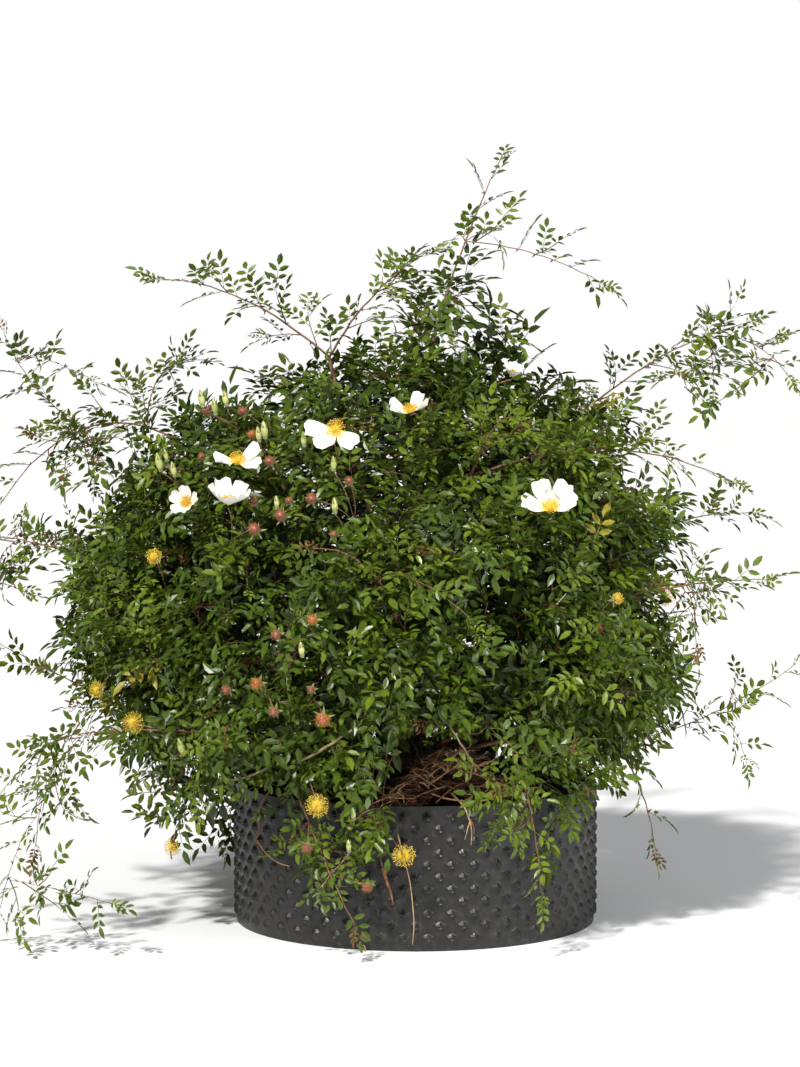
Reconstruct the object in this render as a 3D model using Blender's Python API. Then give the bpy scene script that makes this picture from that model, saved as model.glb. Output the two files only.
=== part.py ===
"""A potted macartney rose: an arching, prickly shrub with white flowers, in a round container rolled
from dimpled black root-training sheet.

Metres, +Z up, front toward -Y, +X to the right. The origin is the centre of the pot's flat underside.
An azimuth is in degrees from the front, turning toward +X: 90 is the right side and 180 the back.
"""

import math
import random

import bmesh
import bpy
import numpy as np
from mathutils import Vector
from mathutils.bvhtree import BVHTree

for old in list(bpy.data.objects):
    bpy.data.objects.remove(old, do_unlink=True)

# Fit between neighbouring solids
GAP = 0.0003

# Pot: a cylinder of formed sheet with rows of pointed dimples, staggered by half a pitch
POT_RADIUS = 0.250
POT_HEIGHT = 0.190
DIMPLE_DEPTH = 0.0055
DIMPLES_AROUND = 50
DIMPLE_ROWS = 12
SHEET = 0.0015
BASE_THICKNESS = 0.004
RIM_ABOVE_SOIL = 0.022
SOIL_MOUND = 0.010
SOIL_FLAT = 1.8
SOIL_SIDES = 36

# Stem: the rose's short root crown, from a flat cut at soil level
STEM_HEIGHT = 0.115
STEM_FOOT_RADIUS = 0.034
STEM_RADIUS = 0.021
STEM_TOP_RADIUS = 0.018
STEM_LEAN = Vector((-0.008, 0.004, 0.0))
STEM_SIDES = 12
STEM_LEVELS = (0.0, 0.008, 0.020, 0.040, 0.065, 0.090, 0.109, STEM_HEIGHT)
STEM_FLARE_HEIGHT = 0.016
STEM_CROWN_SHARE = 0.72
STEM_OFF_AXIS = 0.15
ROOT_LOBES = 5
ROOT_LOBE_DEPTH = 0.10
ROOT_LOBE_HEIGHT = 0.030
ROOT_LOBE_TURN = 0.7
STEM_LUMPS = 0.03

# Boughs: canes that rise from the stem and arch outward
BOUGH_FOOT_RADIUS = 0.0058
BOUGH_TIP_RADIUS = 0.0036
BOUGH_FOOT_OUT = 0.010
BOUGH_ARCH = 0.028
BOUGH_SIDES = 5
BOUGH_STEPS = 4
BOUGH_WOBBLE = 0.006
BOUGH_STOPS_AT = 0.62
BOUGH_BEND = (0.36, 0.62)

# Crown: a dome round an axis a little left of the pot's, deeper below its middle than above it
CROWN_AXIS = Vector((-0.050, 0.0, 0.0))
CROWN_MIDDLE = Vector((-0.050, 0.0, 0.42))
CROWN_RADIUS = 0.385
CROWN_ABOVE = 0.40
CROWN_BELOW = 0.45

# Tiers of foliage masses in the dome.
# name: (foot on the stem, reach, height, half width, ((side, azimuth), ...))
TIERS = {
    "low": (0.020, 0.250, 0.270, 0.125, (
        ("front_left", -34), ("front_right", 34), ("right", 84), ("back_right", 134),
        ("back", 184), ("back_left", 234), ("left", 283))),
    "middle": (0.046, 0.262, 0.430, 0.138, (
        ("front", 2), ("front_right", 60), ("back_right", 118), ("back", 175),
        ("back_left", 238), ("front_left", 302))),
    "upper": (0.072, 0.200, 0.590, 0.145, (
        ("front_left", -36), ("front_right", 36), ("right", 104), ("back", 180), ("left", 262))),
    "top": (0.096, 0.062, 0.708, 0.150, (
        ("left", 225), ("right", 70))),
}
JITTER = 0.012
CELL_MARGIN = 0.001
LIMB_CLEARANCE = 0.0015
POT_CLEARANCE = 0.008
FLOOR_CLEARANCE = 0.012

# Twigs and leaves: each CAD leaf stands for one spray, larger than life
TWIGS_PER_MASS = 10
LEAVES_PER_MASS = 15
TWIG_RADIUS = 0.0026
TWIG_TIP_RADIUS = 0.0011
TWIG_BOW = 0.14
LEAF_LENGTH = 0.104
LEAF_WIDTH = 0.070
LEAF_THICKNESS = 0.0030
LEAF_WIDEST_AT = 0.54
LEAF_BLADE = (0.25, 0.80)
LEAF_KEEPS_CLEAR = 0.4
LEAF_ROOT_SUNK = 0.0001
LEAF_SIZES = (0.85, 1.10)
LEAVES_ALONG_TWIG = (0.40, 0.54, 0.68, 0.82, 0.97)
LEAF_ATTEMPTS = 14
LEAF_SHRINKS = 0.035
TARGET_TRIES = 1500
TWIG_STEPS = 2
STEM_STEPS = 3
STEM_PAST_CENTRE = 0.38
STEM_BEND = 0.010
TWIG_RISE = 0.008
TWIG_BENDS_AT = 0.45
TWIG_KEEPS_HEADING = 0.16
STALK_STEPS = 2
STALK_RISE = 0.012
STALK_BOW = 0.05
TARGETS_FROM = 0.55
TARGETS_TO = 0.92
TARGET_REACH = 0.24
TARGET_SPACING = 0.070
TARGET_ROOM = 0.008
SHORTEST_TWIG = 0.012
BRANCH_SHARE = 0.58
MOST_TURNED_BACK = -0.25
SHORTEST_EDGE = 0.0000002
FLAT_ANGLE = 0.001
SLIVER_AREA = 1e-15
SEED = 9587

# Long shoots: (mass, tip, rise of the arch above the straight line)
SHOOT_RADIUS = 0.0027
SHOOT_STEPS = 4
SHOOT_BOW = 0.03
LEAF_STEP_ON_SHOOT = 0.068
SHOOT_LEAVES_FROM = 0.28
SHOOT_LEAVES_TO = 0.95
SHOOT_LEAF_SIZE = 0.70
SHOOTS = (
    ("top_right", (0.121, -0.010, 1.047), 0.000),
    ("top_right", (0.258, 0.020, 0.876), 0.045),
    ("top_left", (0.016, -0.020, 0.926), 0.010),
    ("top_left", (-0.356, 0.030, 0.875), 0.060),
    ("top_left", (-0.030, 0.140, 0.960), 0.010),
    ("upper_left", (-0.600, 0.020, 0.520), 0.150),
    ("upper_left", (-0.560, 0.000, 0.812), 0.000),
    ("upper_left", (-0.499, -0.060, 0.797), 0.000),
    ("upper_left", (-0.300, 0.230, 0.760), 0.040),
    ("upper_right", (0.454, -0.020, 0.816), 0.020),
    ("upper_right", (0.513, 0.020, 0.736), 0.030),
    ("upper_right", (0.415, 0.090, 0.700), 0.020),
    ("upper_front_right", (0.432, -0.060, 0.600), 0.030),
    ("upper_front_right", (0.120, -0.385, 0.700), 0.020),
    ("upper_back", (0.120, 0.420, 0.770), 0.040),
    ("upper_back", (-0.120, 0.480, 0.660), 0.060),
    ("middle_front_left", (-0.592, -0.060, 0.530), 0.020),
    ("middle_front_left", (-0.573, -0.110, 0.440), 0.015),
    ("middle_back_left", (-0.520, 0.240, 0.500), 0.030),
    ("middle_front", (-0.130, -0.430, 0.540), 0.030),
    ("middle_front", (0.070, -0.440, 0.450), 0.030),
    ("middle_front_right", (0.467, -0.100, 0.473), 0.000),
    ("middle_back_right", (0.490, 0.230, 0.540), 0.030),
    ("middle_back", (0.060, 0.540, 0.500), 0.040),
    ("low_left", (-0.567, 0.010, 0.375), 0.010),
    ("low_left", (-0.585, -0.060, 0.150), 0.040),
    ("low_front_left", (-0.490, -0.200, 0.270), 0.020),
    ("low_front_left", (-0.545, -0.230, 0.045), 0.050),
    ("low_front_left", (-0.385, -0.290, 0.070), 0.030),
    ("low_front_left", (-0.075, -0.320, 0.040), 0.020),
    ("low_front_left", (-0.240, -0.410, 0.300), 0.030),
    ("low_front_right", (0.160, -0.315, 0.085), 0.030),
    ("low_right", (0.521, -0.020, 0.354), 0.010),
    ("low_right", (0.446, -0.070, 0.225), 0.010),
    ("low_right", (0.345, -0.080, 0.085), 0.040),
    ("low_back_right", (0.330, 0.380, 0.260), 0.030),
    ("low_back", (-0.020, 0.450, 0.180), 0.040),
    ("low_back_left", (-0.400, 0.330, 0.200), 0.030),
)

# Flowers: (centre, azimuth and elevation that the face looks to, radius)
FLOWER_RADIUS = 0.037
FLOWER_NOTCH = 0.66
FLOWERS = (
    ((-0.105, -0.270, 0.668), -20, 50, 1.00),
    ((0.164, -0.330, 0.590), 20, 35, 1.05),
    ((-0.300, -0.220, 0.582), -30, 15, 0.62),
    ((-0.243, -0.260, 0.580), 60, 10, 0.80),
    ((-0.222, -0.230, 0.655), -40, 60, 0.70),
    ((-0.004, -0.215, 0.712), 20, 70, 0.70),
    ((0.330, 0.120, 0.640), 100, 30, 0.95),
    ((0.230, 0.320, 0.560), 150, 30, 1.00),
    ((-0.060, 0.330, 0.660), 190, 45, 0.90),
    ((-0.330, 0.210, 0.570), 235, 30, 1.00),
    ((0.050, 0.400, 0.400), 175, 15, 0.90),
)

# Spent flowers that keep their yellow boss of stamens: (centre, radius)
STAMEN_BALL_RADIUS = 0.0125
STAMEN_BALLS = (
    (-0.126, -0.335, 0.205),
    (-0.376, -0.200, 0.278),
    (-0.352, -0.200, 0.505),
    (-0.420, -0.130, 0.322),
    (0.270, -0.270, 0.455),
    (0.360, 0.220, 0.420),
    (-0.180, 0.370, 0.420),
)

# Colours
BLACK_SHEET = (0.022, 0.022, 0.023, 1.0)
DARK_SOIL = (0.050, 0.034, 0.022, 1.0)
OLD_BARK = (0.120, 0.075, 0.045, 1.0)
CANE_BARK = (0.110, 0.050, 0.038, 1.0)
LEAF_GREENS = (
    (0.055, 0.130, 0.030, 1.0),
    (0.075, 0.165, 0.035, 1.0),
    (0.045, 0.105, 0.030, 1.0),
)


def direction(azimuth, elevation=0.0):
    """The unit vector that looks toward an azimuth and an elevation in degrees."""
    az = math.radians(azimuth)
    el = math.radians(elevation)
    return Vector((math.sin(az) * math.cos(el), -math.cos(az) * math.cos(el), math.sin(el)))


def material(name, colour, roughness):
    made = bpy.data.materials.new(name)
    made.use_nodes = True
    shader = made.node_tree.nodes["Principled BSDF"]
    shader.inputs["Base Color"].default_value = colour
    shader.inputs["Roughness"].default_value = roughness
    made.diffuse_color = colour
    return made


def add_object(name, vertices, faces, look=None):
    """A mesh object from vertices and faces, its faces turned to look outward."""
    mesh = bpy.data.meshes.new(name)
    mesh.from_pydata([tuple(v) for v in vertices], [], faces)
    shape = bmesh.new()
    shape.from_mesh(mesh)
    bmesh.ops.triangulate(shape, faces=shape.faces)
    bmesh.ops.recalc_face_normals(shape, faces=shape.faces)
    shape.to_mesh(mesh)
    shape.free()
    made = bpy.data.objects.new(name, mesh)
    bpy.context.scene.collection.objects.link(made)
    if look:
        mesh.materials.append(look)
    return made


def ring(centre, across, over, radius, sides, turn=0.0):
    """Points round a centre, in the plane of two unit vectors."""
    angles = [turn + 2 * math.pi * k / sides for k in range(sides)]
    return [centre + radius * (math.cos(a) * across + math.sin(a) * over) for a in angles]


def skin_rings(rings, pointed=False):
    """Vertices and faces of the closed solid between rings of equal count, or up to a last point."""
    sides = len(rings[0])
    vertices = [point for one in rings for point in one]
    faces = [list(range(sides))[::-1]]
    last = len(rings) - 1
    for level in range(last):
        low = level * sides
        for k in range(sides):
            after = (k + 1) % sides
            if pointed and level == last - 1:
                faces.append([low + k, low + after, last * sides])
            else:
                faces.append([low + k, low + after, low + sides + after, low + sides + k])
    if not pointed:
        faces.append(list(range(last * sides, last * sides + sides)))
    return vertices, faces


def tube(points, radii, sides, pointed=False):
    """A closed tapering tube along points, carried round its bends without a twist."""
    rings = []
    heading = (points[1] - points[0]).normalized()
    across = heading.orthogonal().normalized()
    for index, (point, radius) in enumerate(zip(points, radii)):
        before = points[max(index - 1, 0)]
        after = points[min(index + 1, len(points) - 1)]
        heading = (after - before).normalized()
        across = (across - across.dot(heading) * heading).normalized()
        rings.append(ring(point, across, heading.cross(across), radius, sides))
    if pointed:
        rings[-1] = [points[-1]]
    return skin_rings(rings, pointed)


def arc(start, control, end, steps):
    """Points along the smooth curve from start to end that a control point pulls."""
    shares = [k / steps for k in range(steps + 1)]
    return [(1 - t) ** 2 * start + 2 * t * (1 - t) * control + t * t * end for t in shares]


def taper(first, last, count):
    return [first + (last - first) * k / (count - 1) for k in range(count)]


# Pot


def pot_wall(look):
    """The rolled sheet: its outer face has a dimple's point at every other corner of a fine grid."""
    columns = 2 * DIMPLES_AROUND
    valley = POT_RADIUS - DIMPLE_DEPTH
    rows = [POT_HEIGHT * k / DIMPLE_ROWS for k in range(DIMPLE_ROWS + 1)]
    vertices = []
    for row, height in enumerate(rows):
        for column in range(columns):
            pointed = (row + column) % 2 == 0 and 0 < row < DIMPLE_ROWS
            radius = POT_RADIUS if pointed else valley
            vertices.append(direction(360 * column / columns) * radius + Vector((0, 0, height)))
    inner = len(vertices)
    for height in (0.0, POT_HEIGHT):
        for column in range(columns):
            vertices.append(direction(360 * column / columns) * (valley - SHEET) + Vector((0, 0, height)))
    faces = []
    for column in range(columns):
        after = (column + 1) % columns
        for row in range(DIMPLE_ROWS):
            low = row * columns
            corners = [low + column, low + after, low + columns + after, low + columns + column]
            if (row + column) % 2:
                corners = corners[1:] + corners[:1]
            faces.append([corners[0], corners[1], corners[3]])
            faces.append([corners[1], corners[2], corners[3]])
        top = DIMPLE_ROWS * columns
        faces.append([inner + column, inner + after, inner + columns + after, inner + columns + column])
        faces.append([column, after, inner + after, inner + column])
        faces.append([top + column, top + after, inner + columns + after, inner + columns + column])
    return add_object("pot_wall", vertices, faces, look)


def disc_rings(profile, sides):
    """Rings of a turned solid about the pot's axis, from (radius, height) pairs."""
    x_axis = Vector((1, 0, 0))
    y_axis = Vector((0, 1, 0))
    return [ring(Vector((0, 0, height)), x_axis, y_axis, radius, sides) for radius, height in profile]


def inside_wall():
    """The largest radius that stays clear of the wall's inner face."""
    flat = (POT_RADIUS - DIMPLE_DEPTH - SHEET) * math.cos(math.pi / (2 * DIMPLES_AROUND))
    return flat - GAP


def pot_base(look):
    profile = [(inside_wall(), 0.0), (inside_wall(), BASE_THICKNESS)]
    return add_object("pot_base", *skin_rings(disc_rings(profile, SOIL_SIDES)), look)


SOIL_EDGE = POT_HEIGHT - RIM_ABOVE_SOIL
SOIL_TOP = SOIL_EDGE + SOIL_MOUND


def soil(look):
    """The soil that fills the pot, a little higher round the stem, with a flat top under it."""
    bottom = BASE_THICKNESS + GAP
    profile = [
        (inside_wall(), bottom),
        (inside_wall(), SOIL_EDGE),
        (STEM_FOOT_RADIUS * SOIL_FLAT, SOIL_TOP),
    ]
    return add_object("soil", *skin_rings(disc_rings(profile, SOIL_SIDES)), look)


# Stem and boughs


def stem_axis(height):
    """The stem's axis at a height above its flat cut."""
    share = height / STEM_HEIGHT
    return Vector((0, 0, SOIL_TOP + GAP + height)) + STEM_LEAN * share + CROWN_AXIS * STEM_OFF_AXIS


def stem_radius(height):
    """The stem's radius: a root flare, then a slow taper."""
    share = height / STEM_HEIGHT
    flare = (STEM_FOOT_RADIUS - STEM_RADIUS) * math.exp(-height / STEM_FLARE_HEIGHT)
    return STEM_RADIUS + flare + (STEM_TOP_RADIUS - STEM_RADIUS) * share


def stem(name, look, extra=0.0):
    """The stem, lumpy where canes were cut; extra grows it on all sides but the cut."""
    rng = random.Random(SEED)
    x_axis = Vector((1, 0, 0))
    y_axis = Vector((0, 1, 0))
    rings = []
    for height in STEM_LEVELS:
        radius = stem_radius(height)
        if height == STEM_HEIGHT:
            radius *= STEM_CROWN_SHARE
        points = []
        for k in range(STEM_SIDES):
            angle = 2 * math.pi * k / STEM_SIDES
            lobes = math.cos(ROOT_LOBES * angle + ROOT_LOBE_TURN)
            lobes *= ROOT_LOBE_DEPTH * math.exp(-height / ROOT_LOBE_HEIGHT)
            swollen = radius * (1 + lobes + STEM_LUMPS * rng.uniform(-1, 1)) + extra
            points.append(stem_axis(height) + swollen * (math.cos(angle) * x_axis + math.sin(angle) * y_axis))
        rings.append(points)
    if extra:
        rings[-1] = [point + Vector((0, 0, extra)) for point in rings[-1]]
    return add_object(name, *skin_rings(rings), look)


class Mass:
    """One foliage mass: its space, its bough, and the wood and leaves that have grown in it."""

    def __init__(self, tier, side, azimuth, rng):
        foot, reach, height, half_width, _ = TIERS[tier]
        self.name = f"{tier}_{side}"
        outward = direction(azimuth)
        shift = Vector([rng.uniform(-1, 1) for _ in range(3)]) * JITTER
        self.centre = CROWN_AXIS + outward * reach + Vector((0, 0, height)) + shift
        self.half_width = half_width
        self.bough = self.bough_points(foot, outward, rng)
        self.heading = (self.bough[-1] - self.bough[-2]).normalized()
        self.nodes = []
        self.shoots = []
        self.solids = []
        self.skins = []

    def bough_points(self, foot, outward, rng):
        """The cane's arch, from inside the stem to the near side of the mass."""
        start = stem_axis(foot) + outward * BOUGH_FOOT_OUT
        end = self.centre - (self.centre - start).normalized() * self.half_width * BOUGH_STOPS_AT
        span = end - start
        out, up = BOUGH_BEND
        control = start + Vector((span.x * out, span.y * out, span.z * up + BOUGH_ARCH))
        points = arc(start, control, end, BOUGH_STEPS)
        sideways = span.cross(Vector((0, 0, 1))).normalized()
        sway = rng.uniform(-1, 1) * BOUGH_WOBBLE
        for k in range(2, BOUGH_STEPS):
            points[k] += sideways * sway * math.sin(2 * math.pi * k / BOUGH_STEPS)
        return points


def array(points):
    return np.array([tuple(point) for point in points])


def cell_margin(mass, masses, points):
    """How far inside the space nearest to its own centre the outermost of some points lies."""
    own = ((points - array([mass.centre])) ** 2).sum(1)
    margins = []
    for other in masses:
        if other is not mass:
            away = ((points - array([other.centre])) ** 2).sum(1)
            margins.append(((away - own) / (2 * (other.centre - mass.centre).length)).min())
    return min(margins)


def clear_of_pot(points, margin=0.0):
    """True where points are clear of the pot and of what it stands on."""
    beside = np.hypot(points[:, 0], points[:, 1]) > POT_RADIUS + POT_CLEARANCE + margin
    above = points[:, 2] > POT_HEIGHT + POT_CLEARANCE + margin
    return bool((beside | above).all() and (points[:, 2] > FLOOR_CLEARANCE + margin).all())


class Limbs:
    """Every straight piece that has been placed, to measure how near something comes to it."""

    def __init__(self):
        self.starts = np.zeros((0, 3))
        self.ends = np.zeros((0, 3))
        self.radii = np.zeros(0)
        self.owners = np.zeros(0, dtype=object)

    def add(self, owner, points, radii):
        places = array(points)
        self.starts = np.vstack([self.starts, places[:-1]])
        self.ends = np.vstack([self.ends, places[1:]])
        self.radii = np.append(self.radii, np.maximum(radii[:-1], radii[1:]))
        self.owners = np.append(self.owners, [owner] * (len(points) - 1))

    def clearance(self, points, owner):
        """The least distance from some points to a piece that isn't the owner's."""
        others = self.owners != owner
        start = self.starts[others][None]
        along = self.ends[others][None] - start
        off = points[:, None] - start
        share = np.clip((off * along).sum(2) / np.maximum((along ** 2).sum(2), 1e-12), 0, 1)
        return (np.linalg.norm(off - share[..., None] * along, axis=2) - self.radii[others]).min()


def probes(path, step=0.006):
    """Points along a path, close enough together to feel a limb between them."""
    points = []
    for start, end in zip(path, path[1:]):
        count = max(1, math.ceil((end - start).length / step))
        points += [start.lerp(end, k / count) for k in range(count + 1)]
    return array(points)


# Shapes of leaves and flowers


def leaf_shape(root, tip, normal):
    """A leaf of six faces, flat below and ridged above, widest a little past its middle."""
    along = tip - root
    across = along.cross(normal).normalized()
    over = across.cross(along).normalized()
    middle = root + along * LEAF_WIDEST_AT
    half = along.length * LEAF_WIDTH / LEAF_LENGTH / 2
    ridge = middle + over * LEAF_THICKNESS
    vertices = [root, tip, middle + across * half, middle - across * half, ridge]
    faces = [[0, 2, 4], [2, 1, 4], [1, 3, 4], [3, 0, 4], [2, 0, 1], [0, 3, 1]]
    return vertices, faces


def leaf_outline(vertices):
    root, tip, left, right = vertices[:4]
    return probes([root, left, tip, right, root, tip])


def flower_shape(centre, facing, radius):
    """A shallow five-petalled cup with a low boss of stamens."""
    across = facing.orthogonal().normalized()
    over = facing.cross(across)

    def place(angle, reach, lift):
        turned = math.cos(math.radians(angle)) * across + math.sin(math.radians(angle)) * over
        return centre + radius * (reach * turned + lift * facing)

    vertices = [place(0, 0, 0.16), place(0, 0, -0.16)]
    for k in range(5):
        vertices += [place(72 * k, 1.0, 0.20), place(72 * k + 36, FLOWER_NOTCH, 0.04)]
    vertices += [place(72 * k, 0.30, 0.03) for k in range(5)]
    faces = []
    for k in range(5):
        boss, next_boss = 12 + k, 12 + (k + 1) % 5
        tip, notch, last_notch = 2 + 2 * k, 3 + 2 * k, 2 + (2 * k - 1) % 10
        faces += [[boss, last_notch, tip], [boss, tip, notch], [boss, notch, next_boss], [0, boss, next_boss]]
    faces += [[1, 2 + k, 2 + (k + 1) % 10] for k in range(10)]
    return vertices, faces


def ball_shape(centre, radius):
    """A small ball of twenty flat faces."""
    shape = bmesh.new()
    bmesh.ops.create_icosphere(shape, subdivisions=1, radius=radius)
    vertices = [centre + vertex.co for vertex in shape.verts]
    faces = [[corner.index for corner in face.verts] for face in shape.faces]
    shape.free()
    return vertices, faces


# Growth


def add_solid(mass, solid):
    """Puts a solid on a mass, and returns its number there."""
    mass.solids.append(solid)
    mass.skins.append(BVHTree.FromPolygons(*solid))
    return len(mass.solids) - 1


def crosses_own(mass, solid, carrier):
    """True where a solid meets one of its mass's solids other than its carrier."""
    skin = BVHTree.FromPolygons(*solid)
    return any(number != carrier and skin.overlap(other) for number, other in enumerate(mass.skins))


def add_wood(mass, limbs, points, radii, sides, pointed=True):
    """A piece of wood: its solid, the nodes that more can spring from, and its place among the limbs."""
    number = add_solid(mass, tube(points, radii, sides, pointed))
    last = len(points) - 1 if pointed else len(points)
    for k in range(1, last):
        mass.nodes.append((points[k], (points[k] - points[k - 1]).normalized(), radii[k], number))
    limbs.add(mass.name, points, radii)
    return number


def nearest_node(mass, target):
    """The wood that a twig toward a target springs from: the nearest that doesn't point back."""
    nearest = None
    for node in mass.nodes:
        span = target - node[0]
        if span.length < SHORTEST_TWIG or span.normalized().dot(node[1]) < MOST_TURNED_BACK:
            continue
        if nearest is None or span.length < (target - nearest[0]).length:
            nearest = node
    return nearest


def grow(mass, target, rise, bow, steps, radius, rng):
    """Points, radii and carrier of a twig that arches from the nearest wood to its target."""
    start, heading, wood, carrier = nearest_node(mass, target) or mass.nodes[0]
    span = target - start
    sideways = span.cross(Vector((0.01, 0.0, 1.0))).normalized()
    control = start.lerp(target, TWIG_BENDS_AT) + heading * span.length * TWIG_KEEPS_HEADING
    control += Vector((0, 0, rise)) + sideways * span.length * bow * rng.uniform(-1, 1)
    points = arc(start, control, target, steps)
    return points, taper(min(radius, wood * BRANCH_SHARE), TWIG_TIP_RADIUS, len(points)), carrier


def start_mass(mass, limbs):
    """The mass's own stem, face to face with its bough's tip."""
    start = mass.bough[-1] + mass.heading * GAP
    square_end = start + mass.heading * BOUGH_TIP_RADIUS
    end = mass.centre + mass.heading * mass.half_width * STEM_PAST_CENTRE
    control = start.lerp(end, 0.5) + mass.heading * STEM_BEND
    points = [start] + arc(square_end, control, end, STEM_STEPS)
    radii = taper(BOUGH_TIP_RADIUS, TWIG_RADIUS, len(points))
    add_wood(mass, limbs, points, radii, BOUGH_SIDES, pointed=False)


def add_shoots(mass, limbs, rng):
    """The long shoots that reach out of the crown."""
    for owner, tip, rise in SHOOTS:
        if owner != mass.name:
            continue
        points, radii, _ = grow(mass, Vector(tip), rise, SHOOT_BOW, SHOOT_STEPS, SHOOT_RADIUS, rng)
        path = probes(points)
        room = limbs.clearance(path, mass.name) - SHOOT_RADIUS
        if room < LIMB_CLEARANCE or not clear_of_pot(path, SHOOT_RADIUS):
            continue
        number = add_wood(mass, limbs, points, radii, 3)
        mass.shoots.append((points, number))


def leaf_on(points, share, side, size, rng):
    """Root, tip and upward normal of a leaf that stands off a twig, at a share of the twig's length."""
    place = share * (len(points) - 1)
    k = min(int(place), len(points) - 2)
    root = points[k].lerp(points[k + 1], place - k)
    heading = (points[k + 1] - points[k]).normalized()
    outward = (root - CROWN_MIDDLE).normalized()
    sideways = heading.cross(outward + Vector((0, 0, 0.3))).normalized() * side
    turn = Vector((rng.uniform(-1, 1), rng.uniform(-1, 1), rng.uniform(-0.8, 0.6)))
    pointing = (heading * 0.40 + sideways * 0.85 + turn * 0.35).normalized()
    normal = (Vector((0, 0, 0.4)) + outward * 1.1 + turn * 0.3).normalized()
    length = size * LEAF_LENGTH * rng.uniform(*LEAF_SIZES)
    return root - pointing * LEAF_ROOT_SUNK, root + pointing * length, normal


def add_leaf(mass, masses, limbs, leaf, carrier, in_cell):
    """Fuses on a leaf, unless it would leave its space or touch the pot, a limb or another leaf."""
    vertices, faces = leaf_shape(*leaf)
    outline = leaf_outline(vertices)
    if in_cell and cell_margin(mass, masses, outline) < CELL_MARGIN:
        return False
    if not clear_of_pot(outline) or limbs.clearance(outline, mass.name) < LIMB_CLEARANCE:
        return False
    if crosses_own(mass, (vertices, faces), carrier):
        return False
    add_solid(mass, (vertices, faces))
    root, tip = vertices[:2]
    blade = [root.lerp(tip, share) for share in LEAF_BLADE]
    limbs.add(mass.name, blade, [LEAF_WIDTH * LEAF_KEEPS_CLEAR] * 2)
    return True


def leaf_the_shoots(mass, masses, limbs, rng):
    """Leaves at even steps along each long shoot, left and right in turn."""
    for points, number in mass.shoots:
        length = sum((b - a).length for a, b in zip(points, points[1:]))
        leafy = SHOOT_LEAVES_TO - SHOOT_LEAVES_FROM
        count = max(2, round(length * leafy / LEAF_STEP_ON_SHOOT) + 1)
        for k in range(count):
            share = SHOOT_LEAVES_FROM + leafy * k / (count - 1)
            for attempt in range(LEAF_ATTEMPTS):
                leaf = leaf_on(points, share, 1 if (k + attempt) % 2 else -1, SHOOT_LEAF_SIZE, rng)
                if add_leaf(mass, masses, limbs, leaf, number, in_cell=False):
                    break


def owner_of(point, masses):
    return min(masses, key=lambda mass: (mass.centre - point).length)


def add_flowers(masses, limbs, rng):
    """White flowers and spent stamen balls, each on a stalk from the nearest wood of its mass."""
    for centre, azimuth, elevation, size in FLOWERS:
        mass = owner_of(Vector(centre), masses)
        radius = FLOWER_RADIUS * size
        facing = direction(azimuth, elevation)
        under = Vector(centre) - facing * radius * 0.10
        stalk(mass, limbs, under, rng)
        add_solid(mass, flower_shape(Vector(centre), facing, radius))
        limbs.add(mass.name, [Vector(centre), Vector(centre) + facing * radius], [radius, radius])
    for centre in STAMEN_BALLS:
        mass = owner_of(Vector(centre), masses)
        stalk(mass, limbs, Vector(centre), rng)
        add_solid(mass, ball_shape(Vector(centre), STAMEN_BALL_RADIUS))
        limbs.add(mass.name, [Vector(centre), Vector(centre) + Vector((0, 0, GAP))], [STAMEN_BALL_RADIUS] * 2)


def stalk(mass, limbs, end, rng):
    points, radii, _ = grow(mass, end, STALK_RISE, STALK_BOW, STALK_STEPS, TWIG_RADIUS, rng)
    add_wood(mass, limbs, points, radii, 3)


def crown_share(point):
    """How far out in the dome a point lies: 0 at its middle and 1 at its surface."""
    off = point - CROWN_MIDDLE
    rise = off.z / (CROWN_ABOVE if off.z > 0 else CROWN_BELOW)
    return math.hypot(off.x / CROWN_RADIUS, off.y / CROWN_RADIUS, rise)


def targets_in(mass, masses, limbs, rng):
    """Seeded points spread through a mass's share of the dome's shell, the nearest to its bough first."""
    points = []
    for _ in range(TARGET_TRIES):
        point = mass.centre + Vector([rng.uniform(-1, 1) for _ in range(3)]) * TARGET_REACH
        if not TARGETS_FROM < crown_share(point) < TARGETS_TO:
            continue
        room = min(cell_margin(mass, masses, array([point])), limbs.clearance(array([point]), mass.name))
        if room < TARGET_ROOM or not clear_of_pot(array([point]), TARGET_ROOM):
            continue
        if all((point - other).length > TARGET_SPACING for other in points):
            points.append(point)
    return sorted(points[:TWIGS_PER_MASS], key=lambda point: (point - mass.bough[-1]).length)


def add_twigs(mass, masses, limbs, rng):
    """Twigs to seeded targets. Returns the places on them where leaves can stand, in seeded order."""
    sites = []
    for target in targets_in(mass, masses, limbs, rng):
        points, radii, carrier = grow(mass, target, TWIG_RISE, TWIG_BOW, TWIG_STEPS, TWIG_RADIUS, rng)
        path = probes(points)
        room = min(cell_margin(mass, masses, path), limbs.clearance(path, mass.name)) - radii[0]
        if room < LIMB_CLEARANCE or not clear_of_pot(path, radii[0]):
            continue
        if crosses_own(mass, tube(points, radii, 3, True), carrier):
            continue
        number = add_wood(mass, limbs, points, radii, 3)
        sites += [(points, number, share, k) for k, share in enumerate(LEAVES_ALONG_TWIG)]
    rng.shuffle(sites)
    return sites


def leaf_the_twigs(mass, masses, limbs, sites, rng):
    """Leaves left and right along the twigs, as many as the mass may carry."""
    count = 0
    for points, number, share, k in sites:
        if count == LEAVES_PER_MASS:
            break
        for attempt in range(LEAF_ATTEMPTS):
            size = 1 - LEAF_SHRINKS * attempt
            leaf = leaf_on(points, share, 1 if (k + attempt) % 2 else -1, size, rng)
            if add_leaf(mass, masses, limbs, leaf, number, in_cell=True):
                count += 1
                break


# Fusing


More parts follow.
